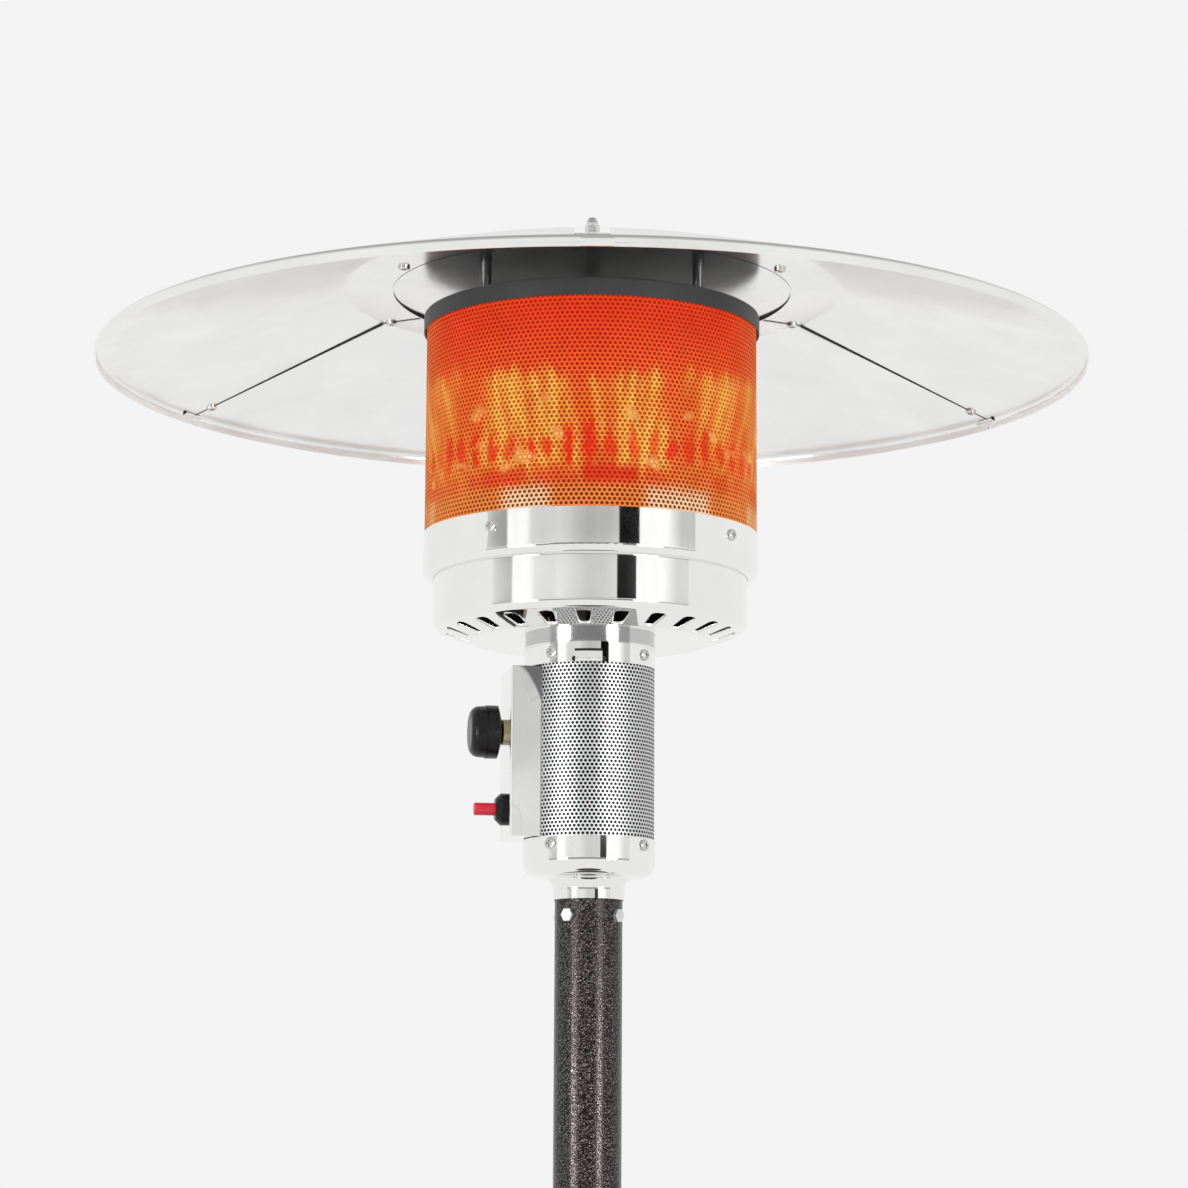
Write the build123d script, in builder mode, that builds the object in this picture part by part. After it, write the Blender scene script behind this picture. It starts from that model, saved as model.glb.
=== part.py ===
import os
from math import cos, radians, sin, sqrt

from build123d import *

# A freestanding gas patio heater, in millimetres.
# Origin: centre of the base on the floor. +Z is up, the control box faces -X.

# Clearances and sheets
running_gap = 0.05
nested_gap = 0.15
slide_gap = 0.5
hole_gap = 0.15
head_sheet = 0.8
box_sheet = 1.0

# Fasteners
screw_head_radius = 4.8
screw_head_height = 2.4
screw_shank_radius = 2.4
screw_recess_width = 1.3
screw_recess_span = 5.4
screw_recess_depth = 1.4
screw_crown = 1.44
bolt_flats = 10.0
bolt_head_height = 4.0
bolt_shank_radius = 3.0
bolt_chamfer = 0.6
bolt_tail = 3.0
nut_height = 5.0
sheet_screw_shank = 6.0
cup_screw_shank = 5.0
collar_screw_shank = 12.0
cap_nut_flats = 9.0
cap_nut_height = 5.0
cap_nut_dome = 4.2
cap_nut_spare = 1.5

# Base pan
base_radius = 230.0
base_sheet = 2.0
foot_height = 10.0
foot_radius = 7.0
foot_count = 4
foot_chamfer = 1.0
flange_lip_drop = 6.0
flange_lip_bend = 3.0
platform_rise = 34.0
platform_bend = 6.0
flange_hole_inset = 11.3
anchor_hole_radius = 4.5
anchor_hole_count = 3

# Tank housing
housing_inset = 20.0
housing_sheet = 1.0
housing_height = 700.0
housing_platform_gap = 0.6
lid_skirt = 14.0
lid_overlap = 8.0
lid_rise = 50.0
lid_collar_height = 12.0
lid_bends = [10.0, 12.0, 2.0]
lid_boss_radius = 62.0
bushing_radius = 36.0
bushing_flange = 3.0
lid_screw_count = 4

# Support legs
leg_count = 3
leg_width = 30.0
leg_thickness = 3.0
leg_housing_gap = 13.0
leg_foot_length = 28.0
leg_slant_drop = 111.0
leg_slant_rise = 100.0
leg_tab_height = 60.0
leg_bolt_inset = 20.0
leg_tab_bolt_inset = 14.0
leg_foot_bolt_inset = 16.8
leg_bends = [6.0, 30.0, 20.0]
leg_clocking = 60.0

# Post
post_radius = 27.3
post_wall = 1.5
post_tail = 11.0
post_length = 1010.5
post_bolt_drop = 21.0
post_overlap = 10.0
post_plug_depth = 10.0
post_plug_flange = 3.0

# Wheels
wheel_radius = 37.0
wheel_width = 22.0
wheel_ground_gap = 4.0
wheel_reach = 40.0
axle_radius = 4.0
bracket_width = 76.0
bracket_sheet = 2.5
wheel_side_gap = 1.0
wheel_tread_width = 16.0
wheel_tread_fillet = 3.0
wheel_hub_radius = 11.0
wheel_rim_depth = 8.0
wheel_pocket_depth = 5.0
bracket_housing_gap = 2.5
bracket_ear_radius = 12.0
bracket_bolt_side = 24.0
bracket_bolt_head = 3.0
axle_cap_length = 5.0
axle_cap_wall = 1.0

# Cup and socket under the control housing
cup_radius = 53.5
cup_height = 50.0
cup_shoulder_drop = 30.0
cup_shoulder_fillet = 9.0
cup_neck_fillet = 14.0
cup_neck_radius = 28.8
cup_screw_drop = 6.0
socket_wall = 2.0
socket_depth = 44.0
socket_flange = 2.0

# Control housing
screen_height = 139.0
screen_lap = 19.0
neck_ring_height = 17.0
neck_ring_wall = 0.8
neck_flange_height = 6.0
neck_skirt = 13.0
neck_flange_sheet = 1.5
fastener_clocking = 45.0

# Control box
box_face_distance = 69.0
box_width = 57.0
box_edge_gap = 1.5
box_foot_gap = 0.5
window_inset = 2.0
box_corner = 2.0

# Gas valve and knob, whose axis runs along X
knob_rise = 86.5
valve_length = 36.0
valve_width = 30.0
valve_height = 40.0
valve_setback = 11.0
bonnet_radius = 9.0
bonnet_bore = 7.6
bonnet_reach = 2.8
valve_nut_radius = 10.4
valve_nut_length = 3.3
valve_chamfer = 3.0
valve_nut_chamfer = 0.6
plug_radius = 7.4
plug_front_wall = 2.0
plug_back_wall = 8.0
plug_end_gap = 1.0
spindle_radius = 4.0
spindle_in_plug = 20.0
knob_radius = 21.5
knob_depth = 25.0
knob_gap = 4.4
knob_skirt_depth = 12.0
knob_hub_radius = 7.0
knob_hub_gap = 2.0
knob_recess_gap = 1.2
knob_recess_depth = 7.0
knob_skirt_taper = 2.8
knob_front_wall = 1.0
knob_rim_step = 0.5
knob_front_step = 1.5
knob_corner = 7.5
knob_travel = 3.0
port_radius = 8.0
port_height = 8.0
port_socket = 6.0
port_tube_depth = 5.0
small_port_depth = 3.0
small_tube_depth = 2.0

# Igniter, whose axis runs along X
igniter_rise = 24.0
igniter_body_radius = 9.0
igniter_body_length = 34.0
igniter_body_proud = 2.0
igniter_back_wall = 4.0
igniter_nut_radius = 12.9
igniter_nut_rim = 3.6
igniter_nut_length = 8.0
igniter_nut_land = 3.5
button_radius = 5.1
button_reach = 25.0
button_chamfer = 0.5
button_travel = 5.0
spring_wall = 0.8
spring_side_gap = 0.4

# Tilt switch
switch_place = (24.0, -18.0)
switch_size = (18.0, 16.0, 26.0)
switch_chamfer = 2.0

# Gas pipe and its inlet
inlet_drop = 20.0
inlet_nut_flats = 19.0
inlet_nut_height = 14.0
inlet_ferrule = 4.0
inlet_bore = 3.0
inlet_bore_depth = 26.0
pipe_ferrule_wall = 2.0
flare_radius = 7.9
flare_length = 14.0
pipe_bend = 12.0
pipe_swing_low = 44.0
pipe_swing_high = 14.0

# Burner housing
bowl_radius = 128.3
bowl_floor_radius = 97.0
bowl_cone_rise = 8.5
bowl_cone_radius = 121.5
bowl_band_top = 80.0
bowl_mouth = 47.0
slot_count = 24
slot_inner_radius = 98.5
slot_outer_radius = 119.0
slot_inner_width = 7.5
slot_outer_width = 12.5
slot_clocking = 2.5
slot_outer_fillet = 3.5
slot_inner_fillet = 1.5
bowl_bends = [3.0, 7.0]
collar_radius = 136.9
collar_bottom = 51.0
collar_height = 36.5
collar_fillet = 7.5
collar_screw_drop = 12.0

# Emitter
emitter_height = 169.0
emitter_lap = 30.0
cap_radius = 138.5
cap_height = 15.0
cap_sheet = 1.0
cap_corner = 2.0

# Reflector
reflector_radius = 406.4
reflector_sheet = 0.8
reflector_drop = 68.4
reflector_lip = 8.0
ring_bend = 14.0
rim_bend = 3.0
reflector_ring_radius = 206.0
reflector_hole_radius = 165.0
reflector_gap_above_cap = 20.0
petal_count = 3
seam_gap = 0.8
seam_clocking = 20.0
lap_width = 26.0
lap_inner_radius = 188.0
lap_outer_radius = 396.0
centre_plate_radius = 185.0
seam_screw_outer_radius = 386.0
seam_screw_inner_radius = 198.0
petal_screw_radius = 174.5
strut_radius = 4.8
strut_ring_radius = 100.0
strut_stud_radius = 3.0
strut_stud_height = 14.0
strut_stud_drop = 10.0
wing_nut_height = 7.0
wing_nut_hub = 5.5
wing_offset = 9.0
wing_rise = 5.25
wing_sheet = 2.5
wing_half_length = 6.0
wing_half_height = 4.5

# Burner
burner_radius = 100.0
burner_height = 16.0
burner_rise = 62.0
burner_sheet = 1.0
mixer_radius = 14.0
injector_radius = 6.0
injector_collar = 3.5
injector_drop = 20.0
injector_reach = 12.0
injector_hex_wall = 2.0
injector_socket = 8.0
injector_tube_depth = 6.0
gas_pipe_radius = 5.0
main_tube_radius = 4.0
main_tube_bend = 9.0
main_tube_rise = 4.0
main_tube_swing = 14.0
pilot_tube_radius = 2.0
lead_radius = 1.5
pilot_radius = 113.0
pilot_rise = 54.0
port_ring_outer = 84.0
port_ring_outer_count = 24
port_ring_inner = 58.0
port_ring_inner_count = 16
burner_port_radius = 3.0
air_window_height = 18.0
air_window_width = 11.2
air_window_rise = 6.0
pilot_body_radius = 4.5
pilot_body_height = 34.0
pilot_bracket = 10.0
pilot_bracket_width = 26.0
pilot_bracket_sheet = 2.0
pilot_strap_width = 12.0
pilot_strap_sheet = 1.5
pilot_strap_drop = 22.0
pilot_strap_gap = 1.0
pilot_socket = 8.0
pilot_tube_depth = 7.0
probe_side = 9.0
electrode_radius = 3.0
electrode_tip_radius = 1.0
electrode_body_height = 18.0
electrode_height = 30.0
electrode_seat = 2.0
small_tube_bend = 10.0
lead_bend = 4.0
below_burner_rise = 26.0
pilot_tube_climb = 10.0
thermocouple_climb = 4.0
lead_climb = 6.0
small_tube_spacing = 6.0
lead_tail = 8.0
lead_turn = (1.0, -4.0, 12.0)
lead_turn_height = 40.0

# Heights worked out from the sizes above
flange_top = foot_height + base_sheet
platform_top = flange_top + platform_rise
housing_top = flange_top + housing_height
slant_bottom = housing_top - leg_slant_drop
tab_bottom = slant_bottom + leg_slant_rise
tab_top = tab_bottom + leg_tab_height
post_bottom = tab_bottom - post_tail
post_top = post_bottom + post_length
cup_bottom = post_top - post_overlap
cup_top = cup_bottom + cup_height
cup_floor = cup_top - cup_shoulder_drop
neck_bottom = cup_top + screen_height
neck_top = neck_bottom + neck_ring_height
bowl_floor = neck_top + neck_flange_height
collar_low = bowl_floor + collar_bottom
collar_top = collar_low + collar_height
cap_bottom = collar_top + emitter_height
cap_top = cap_bottom + cap_height
petal_floor = cap_top + reflector_gap_above_cap
petal_top = petal_floor + reflector_sheet
rim_bottom = petal_floor - reflector_drop
knob_z = cup_top + knob_rise
igniter_z = cup_top + igniter_rise

# Radii worked out from the sizes above
housing_radius = base_radius - housing_inset
platform_radius = housing_radius - housing_sheet - housing_platform_gap
leg_radius = housing_radius - housing_sheet - leg_housing_gap
screen_radius = cup_radius - head_sheet - nested_gap
neck_ring_radius = screen_radius + nested_gap + neck_ring_wall
neck_skirt_radius = screen_radius - head_sheet - nested_gap
emitter_radius = collar_radius - head_sheet - nested_gap
post_bore = post_radius - post_wall
socket_radius = post_bore - 2 * nested_gap

# Azimuths in degrees, counted from +X towards +Y
fastener_azimuths = [fastener_clocking + 90 * i for i in range(4)]
leg_azimuths = [leg_clocking + 360 / leg_count * i for i in range(leg_count)]
seam_azimuths = [seam_clocking + 360 / petal_count * i for i in range(petal_count)]
petal_azimuths = [azimuth + 180 / petal_count for azimuth in seam_azimuths]

BOTTOM = (Align.CENTER, Align.CENTER, Align.MIN)
TOP = (Align.CENTER, Align.CENTER, Align.MAX)


def save(piece, name):
    piece.part.label = name
    export_step(piece.part, f"parts/{name}.step")


def polar(radius, azimuth, height):
    return (radius * cos(radians(azimuth)), radius * sin(radians(azimuth)), height)


def outward(radius, azimuth, height):
    """A plane on a ring, whose normal points away from the heater's axis."""
    tangent = (-sin(radians(azimuth)), cos(radians(azimuth)), 0)
    return Plane(origin=polar(radius, azimuth, height), x_dir=tangent, z_dir=polar(1, azimuth, 0))


def upward(radius, azimuth, height):
    """A plane on a ring, whose normal points up and whose x axis is radial."""
    return Plane(origin=polar(radius, azimuth, height), x_dir=polar(1, azimuth, 0), z_dir=(0, 0, 1))


def downward(radius, azimuth, height):
    return Plane(origin=polar(radius, azimuth, height), x_dir=polar(1, azimuth, 0), z_dir=(0, 0, -1))


def along_x(distance, height, depth=0):
    """A plane that faces -X, at a distance from the heater's axis."""
    return Plane(origin=(-distance, depth, height), x_dir=(0, -1, 0), z_dir=(-1, 0, 0))


def thin_revolve(points, radii, wall, side=Side.RIGHT):
    """A sheet of revolution: the points run along one face, the wall lies on the given side."""
    with BuildPart() as shell:
        with BuildSketch(Plane.XZ):
            with BuildLine():
                FilletPolyline(*points, radius=radii)
                offset(amount=wall, side=side)
            make_face()
        revolve(axis=Axis.Z)
    return shell


def solid_revolve(points, base=Plane.XZ, axis=Axis.Z):
    with BuildPart() as solid:
        with BuildSketch(base):
            with BuildLine():
                Polyline(*points, close=True)
            make_face()
        revolve(axis=axis)
    return solid


def tube_run(points, radius, bend):
    """A round tube whose straight runs are joined by tangent arcs."""
    with BuildPart() as tube:
        with BuildLine() as path:
            FilletPolyline(*points, radius=bend)
        with BuildSketch(Plane(origin=path.line @ 0, z_dir=path.line % 0)):
            Circle(radius)
        sweep(path=path.line)
    return tube


def pan_screw(shank_length):
    """A cross recessed pan head screw on +Z, its head standing on the plane."""
    with BuildPart() as screw:
        Cylinder(screw_head_radius, screw_head_height, align=BOTTOM)
        fillet(screw.edges().group_by(Axis.Z)[-1], screw_crown)
        Cylinder(screw_shank_radius, shank_length, align=TOP)
        with BuildSketch(Plane.XY.offset(screw_head_height)):
            Rectangle(screw_recess_span, screw_recess_width)
            Rectangle(screw_recess_width, screw_recess_span)
        extrude(amount=-screw_recess_depth, mode=Mode.SUBTRACT)
    return screw.part


def hex_bolt(shank_length):
    """A hexagon bolt on +Z, its head standing on the plane."""
    with BuildPart() as bolt:
        with BuildSketch():
            RegularPolygon(bolt_flats / 2, 6, major_radius=False)
        extrude(amount=bolt_head_height)
        chamfer(bolt.faces().sort_by(Axis.Z)[-1].edges(), bolt_chamfer)
        Cylinder(bolt_shank_radius, shank_length, align=TOP)
    return bolt.part


def hex_nut(bore):
    with BuildPart() as nut:
        with BuildSketch():
            RegularPolygon(bolt_flats / 2, 6, major_radius=False)
            Circle(bore, mode=Mode.SUBTRACT)
        extrude(amount=nut_height)
    return nut.part


def group(piece, planes):
    with BuildPart() as copies:
        with Locations(*planes):
            add(piece)
    return copies


def drill(planes, radius, depth):
    """Cut round holes through what lies within the depth on both sides of each plane."""
    with Locations(*planes):
        Cylinder(radius, 2 * depth, mode=Mode.SUBTRACT)


# Base pan: a raised platform inside a flange with a turned down lip
flange_middle = base_radius - flange_hole_inset
anchor_azimuths = [360 / anchor_hole_count * (i + 0.5) for i in range(anchor_hole_count)]
foot_azimuths = [360 / foot_count * (i + 0.5) for i in range(foot_count)]
bracket_bolt_x = sqrt(flange_middle**2 - bracket_bolt_side**2)
bracket_bolts = [Plane.XY.offset(foot_height).location * Location((bracket_bolt_x, side, 0))
                 for side in (-bracket_bolt_side, bracket_bolt_side)]
leg_foot_bolt_radius = leg_radius - leg_foot_bolt_inset
leg_foot_bolts = [upward(leg_foot_bolt_radius, azimuth, platform_top) for azimuth in leg_azimuths]
with BuildPart() as base_pan:
    add(thin_revolve(
        [(base_radius, foot_height - flange_lip_drop), (base_radius, flange_top),
         (platform_radius, flange_top), (platform_radius, platform_top), (0, platform_top)],
        [flange_lip_bend, housing_platform_gap / 2, platform_bend], base_sheet, Side.LEFT,
    ).part)
    drill([upward(flange_middle, azimuth, flange_top) for azimuth in anchor_azimuths],
          anchor_hole_radius, 2 * base_sheet)
    drill(bracket_bolts, bolt_shank_radius + hole_gap, 2 * base_sheet)
    drill(leg_foot_bolts, bolt_shank_radius + hole_gap, 2 * base_sheet)
save(base_pan, "base_pan")

with BuildPart() as base_feet:
    with Locations(*[upward(flange_middle, azimuth, 0) for azimuth in foot_azimuths]):
        Cylinder(foot_radius, foot_height, align=BOTTOM)
    chamfer(base_feet.edges().group_by(Axis.Z)[0], foot_chamfer)
save(base_feet, "base_feet")

# Support legs: flat bars with an inward foot, a slant and a tab on the post
tab_face = post_radius + leg_thickness
leg_bolt_heights = [tab_bottom + leg_bolt_inset, tab_top - leg_tab_bolt_inset]
leg_outline = [
    (leg_radius - leg_foot_length, platform_top), (leg_radius, platform_top),
    (leg_radius, slant_bottom), (tab_face, tab_bottom), (tab_face, tab_top),
]
for number, azimuth in enumerate(leg_azimuths, start=1):
    leg_plane = Plane(origin=(0, 0, 0), x_dir=polar(1, azimuth, 0),
                      z_dir=(sin(radians(azimuth)), -cos(radians(azimuth)), 0))
    with BuildPart() as support_leg:
        with BuildSketch(leg_plane):
            with BuildLine():
                FilletPolyline(*leg_outline, radius=leg_bends)
                offset(amount=leg_thickness, side=Side.LEFT)
            make_face()
        extrude(amount=leg_width / 2, both=True)
        drill([outward(tab_face, azimuth, height) for height in leg_bolt_heights],
              bolt_shank_radius + hole_gap, 2 * leg_thickness)
        drill([upward(leg_foot_bolt_radius, azimuth, platform_top)],
              bolt_shank_radius + hole_gap, 2 * leg_thickness)
    save(support_leg, f"support_leg_{number}")

leg_post_bolts = [outward(tab_face, azimuth, height)
                  for azimuth in leg_azimuths for height in leg_bolt_heights]
leg_foot_bolt_shank = leg_thickness + base_sheet + nut_height + bolt_tail
with BuildPart() as leg_bolts:
    with Locations(*leg_post_bolts):
        add(hex_bolt(leg_thickness + post_wall + bolt_tail))
    with Locations(*[upward(leg_foot_bolt_radius, azimuth, platform_top + leg_thickness)
                     for azimuth in leg_azimuths]):
        add(hex_bolt(leg_foot_bolt_shank))
    with Locations(*[downward(leg_foot_bolt_radius, azimuth, platform_top - base_sheet)
                     for azimuth in leg_azimuths]):
        add(hex_nut(bolt_shank_radius))
save(leg_bolts, "leg_bolts")

# Post, its upper bolts and the plastic plug in its lower end
post_bolt_z = post_top - post_bolt_drop
post_bolt_planes = [outward(post_radius, azimuth, post_bolt_z) for azimuth in fastener_azimuths]
with BuildPart() as post:
    with BuildSketch(Plane.XY.offset(post_bottom)):
        Circle(post_radius)
        Circle(post_bore, mode=Mode.SUBTRACT)
    extrude(amount=post_length)
    drill(post_bolt_planes, bolt_shank_radius + hole_gap, 2 * post_wall)
    drill(leg_post_bolts, bolt_shank_radius + hole_gap, 3 * post_wall + leg_thickness)
save(post, "post")

post_bolts = group(hex_bolt(post_wall + 2 * nested_gap + socket_wall + bolt_tail), post_bolt_planes)
save(post_bolts, "post_bolts")

with BuildPart() as post_plug:
    with BuildSketch(Plane.XY.offset(post_bottom)):
        Circle(post_bore - nested_gap)
    extrude(amount=post_plug_depth)
    with BuildSketch(Plane.XY.offset(post_bottom)):
        Circle(post_radius)
    extrude(amount=-post_plug_flange)
    with Locations((0, 0, post_bottom)):
        Cylinder(gas_pipe_radius + nested_gap, 4 * post_plug_depth, mode=Mode.SUBTRACT)
save(post_plug, "post_plug")

# Tank housing: the shell, its lid, the lid screws and the bushing that rides on the post
lid_radius = housing_radius + nested_gap + housing_sheet
lid_eave = housing_top + lid_skirt - lid_overlap
lid_screw_z = housing_top - lid_overlap / 2
lid_screw_planes = [outward(lid_radius, 90 * i, lid_screw_z) for i in range(lid_screw_count)]
with BuildPart() as housing_shell:
    with BuildSketch(Plane.XY.offset(flange_top)):
        Circle(housing_radius)
        Circle(housing_radius - housing_sheet, mode=Mode.SUBTRACT)
    extrude(amount=housing_height)
    drill(lid_screw_planes, screw_shank_radius + hole_gap, 4 * housing_sheet)
save(housing_shell, "housing_shell")

lid_boss_z = lid_eave + lid_rise
with BuildPart() as housing_lid:
    add(thin_revolve(
        [(lid_radius, housing_top - lid_overlap), (lid_radius, lid_eave),
         (lid_boss_radius, lid_boss_z), (bushing_radius + housing_sheet, lid_boss_z),
         (bushing_radius + housing_sheet, lid_boss_z + lid_collar_height)],
        lid_bends, housing_sheet, Side.LEFT,
    ).part)
    drill(lid_screw_planes, screw_shank_radius + hole_gap, 4 * housing_sheet)
save(housing_lid, "housing_lid")

housing_screws = group(pan_screw(sheet_screw_shank), lid_screw_planes)
save(housing_screws, "housing_screws")

bushing_bore = post_radius + slide_gap
bushing_top = lid_boss_z + lid_collar_height
housing_bushing = solid_revolve([
    (bushing_bore, lid_boss_z - bushing_flange), (bushing_radius - nested_gap, lid_boss_z - bushing_flange),
    (bushing_radius - nested_gap, bushing_top), (bushing_radius + bushing_flange, bushing_top),
    (bushing_radius + bushing_flange, bushing_top + bushing_flange),
    (bushing_bore, bushing_top + bushing_flange),
])
save(housing_bushing, "housing_bushing")

# Wheels on an axle behind the base, clear of the floor while the heater stands
axle_x = base_radius + wheel_reach
axle_z = wheel_radius + wheel_ground_gap
wheel_middle = bracket_width / 2 + wheel_side_gap + wheel_width / 2
axle_half = bracket_width / 2 + wheel_side_gap + wheel_width + wheel_side_gap
bracket_start = housing_radius + bracket_housing_gap
ear_x = axle_x + bracket_ear_radius
with BuildPart() as wheel_bracket:
    with BuildSketch(Plane.XZ.offset(-bracket_width / 2)):
        with BuildLine():
            Polyline((bracket_start, flange_top), (ear_x, flange_top), (ear_x, axle_z))
            ThreePointArc((ear_x, axle_z), (axle_x, axle_z + bracket_ear_radius),
                          (axle_x - bracket_ear_radius, axle_z))
            Line((axle_x - bracket_ear_radius, axle_z), (bracket_start, flange_top))
        make_face()
    extrude(amount=bracket_width)
    with BuildSketch(Plane.XZ.offset(-bracket_width / 2 + bracket_sheet)):
        with Locations((axle_x, flange_top + bracket_sheet)):
            Rectangle(4 * wheel_reach, 4 * axle_z, align=(Align.CENTER, Align.MIN))
    extrude(amount=bracket_width - 2 * bracket_sheet, mode=Mode.SUBTRACT)
    with BuildSketch(Plane.XZ.offset(-bracket_width)):
        with Locations((axle_x, axle_z)):
            Circle(axle_radius + nested_gap)
    extrude(amount=2 * bracket_width, mode=Mode.SUBTRACT)
    drill(bracket_bolts, bolt_shank_radius + hole_gap, 4 * base_sheet)
save(wheel_bracket, "wheel_bracket")

with BuildPart() as wheel_bracket_bolts:
    with Locations(*bracket_bolts):
        Cylinder(bolt_flats / 2, bracket_bolt_head, align=TOP)
        Cylinder(bolt_shank_radius, base_sheet + bracket_sheet + nut_height + bolt_tail, align=BOTTOM)
    with Locations(*[Location((bracket_bolt_x, side, flange_top + bracket_sheet))
                     for side in (-bracket_bolt_side, bracket_bolt_side)]):
        add(hex_nut(bolt_shank_radius))
save(wheel_bracket_bolts, "wheel_bracket_bolts")

axle_end = axle_half + axle_cap_length - axle_cap_wall
with BuildPart() as wheel_axle:
    with BuildSketch(Plane.XZ.offset(-axle_end)):
        with Locations((axle_x, axle_z)):
            Circle(axle_radius)
    extrude(amount=2 * axle_end)
    for side in (-1, 1):
        with BuildSketch(Plane.XZ.offset(side * axle_half)):
            with Locations((axle_x, axle_z)):
                Circle(2 * axle_radius)
        extrude(amount=side * axle_cap_length)
save(wheel_axle, "wheel_axle")

for name, side in (("wheel_left", 1), ("wheel_right", -1)):
    with BuildPart() as wheel:
        with BuildSketch(Plane.XZ.offset(side * wheel_middle)):
            with Locations((axle_x, axle_z)):
                Circle(wheel_radius)
        extrude(amount=wheel_tread_width / 2, both=True)
        fillet(wheel.edges(), wheel_tread_fillet)
        for face in (-1, 1):
            with BuildSketch(Plane.XZ.offset(side * wheel_middle + face * wheel_tread_width / 2)):
                with Locations((axle_x, axle_z)):
                    Circle(wheel_radius - wheel_rim_depth)
                    Circle(wheel_hub_radius, mode=Mode.SUBTRACT)
            extrude(amount=-face * wheel_pocket_depth, mode=Mode.SUBTRACT)
        with BuildSketch(Plane.XZ.offset(side * wheel_middle)):
            with Locations((axle_x, axle_z)):
                Circle(wheel_hub_radius)
        extrude(amount=wheel_width / 2, both=True)
        with BuildSketch(Plane.XZ.offset(side * wheel_middle)):
            with Locations((axle_x, axle_z)):
                Circle(axle_radius + running_gap)
        extrude(amount=wheel_width, both=True, mode=Mode.SUBTRACT)
    save(wheel, name)

# Socket tube: the head's stub inside the post, with a flange on the floor of the cup
cup_inner_floor = cup_floor + head_sheet
socket_flange_radius = cup_radius - cup_shoulder_fillet
with BuildPart() as socket_tube:
    with BuildSketch(Plane.XY.offset(post_top - socket_depth)):
        Circle(socket_radius)
    extrude(amount=cup_inner_floor - post_top + socket_depth)
    with BuildSketch(Plane.XY.offset(cup_inner_floor)):
        Circle(socket_flange_radius)
    extrude(amount=socket_flange)
    Cylinder(socket_radius - socket_wall, 3 * post_top, mode=Mode.SUBTRACT)
    drill(post_bolt_planes, bolt_shank_radius + hole_gap, 3 * post_wall + socket_wall)
save(socket_tube, "socket_tube")

# Cup: a straight rim, a rounded shoulder and a flare down to the post
cup_screw_planes = [outward(cup_radius, azimuth, cup_top - cup_screw_drop)
                    for azimuth in fastener_azimuths]
with BuildPart() as post_cup:
    add(thin_revolve(
        [(cup_radius, cup_top), (cup_radius, cup_floor), (cup_neck_radius, cup_floor),
         (cup_neck_radius, cup_bottom)],
        [cup_shoulder_fillet, cup_neck_fillet], head_sheet, Side.RIGHT,
    ).part)
    drill(cup_screw_planes, screw_shank_radius + hole_gap, 3 * head_sheet)
save(post_cup, "post_cup")

cup_screws = group(pan_screw(cup_screw_shank), cup_screw_planes)
save(cup_screws, "cup_screws")

# Neck ring and flange, which carry the burner housing on the control screen
neck_screw_z = (neck_bottom + neck_top) / 2
neck_screw_planes = [outward(neck_ring_radius, azimuth, neck_screw_z)
                     for azimuth in fastener_azimuths]
with BuildPart() as neck_ring:
    with BuildSketch(Plane.XY.offset(neck_bottom)):
        Circle(neck_ring_radius)
        Circle(neck_ring_radius - neck_ring_wall, mode=Mode.SUBTRACT)
    extrude(amount=neck_ring_height)
    drill(neck_screw_planes, screw_shank_radius + hole_gap, 3 * head_sheet)
save(neck_ring, "neck_ring")

pilot_tube_hole = (-42.0, 12.0)
thermocouple_hole = (-34.0, -12.0)
lead_hole = (-28.0, 24.0)
tube_holes = [pilot_tube_hole, thermocouple_hole, lead_hole]
with BuildPart() as neck_flange:
    add(solid_revolve([
        (neck_skirt_radius - neck_flange_sheet, neck_top - neck_skirt),
        (neck_skirt_radius, neck_top - neck_skirt), (neck_skirt_radius, neck_top),
        (neck_ring_radius - head_sheet, neck_top), (neck_ring_radius - head_sheet, bowl_floor),
        (injector_radius + hole_gap, bowl_floor),
        (injector_radius + hole_gap, bowl_floor - neck_flange_sheet),
        (neck_skirt_radius - neck_flange_sheet, bowl_floor - neck_flange_sheet),
    ]).part)
    with Locations(*[(x, y, bowl_floor) for x, y in tube_holes]):
        Cylinder(pilot_tube_radius + slide_gap, 4 * neck_flange_sheet, mode=Mode.SUBTRACT)
    drill(neck_screw_planes, screw_shank_radius + hole_gap, 6 * head_sheet)
save(neck_flange, "neck_flange")

neck_screws = group(pan_screw(sheet_screw_shank), neck_screw_planes)
save(neck_screws, "neck_screws")

# Control screen: the perforated sleeve between cup and neck, open behind the control box
screen_bottom = cup_top - screen_lap
screen_top = neck_top - nested_gap
box_bottom = cup_top + box_foot_gap
box_top = neck_bottom - box_edge_gap
box_middle = (box_bottom + box_top) / 2
box_height = box_top - box_bottom
with BuildPart() as control_screen:
    with BuildSketch(Plane.XY.offset(screen_bottom)):
        Circle(screen_radius)
        Circle(screen_radius - head_sheet, mode=Mode.SUBTRACT)
    extrude(amount=screen_top - screen_bottom)
    with Locations((-screen_radius, 0, box_middle)):
        Box(screen_radius, box_width - 2 * (box_sheet + window_inset),
            box_height - 2 * (box_sheet + window_inset), mode=Mode.SUBTRACT)
    drill(cup_screw_planes + neck_screw_planes, screw_shank_radius + hole_gap, 6 * head_sheet)
save(control_screen, "control_screen")

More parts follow.
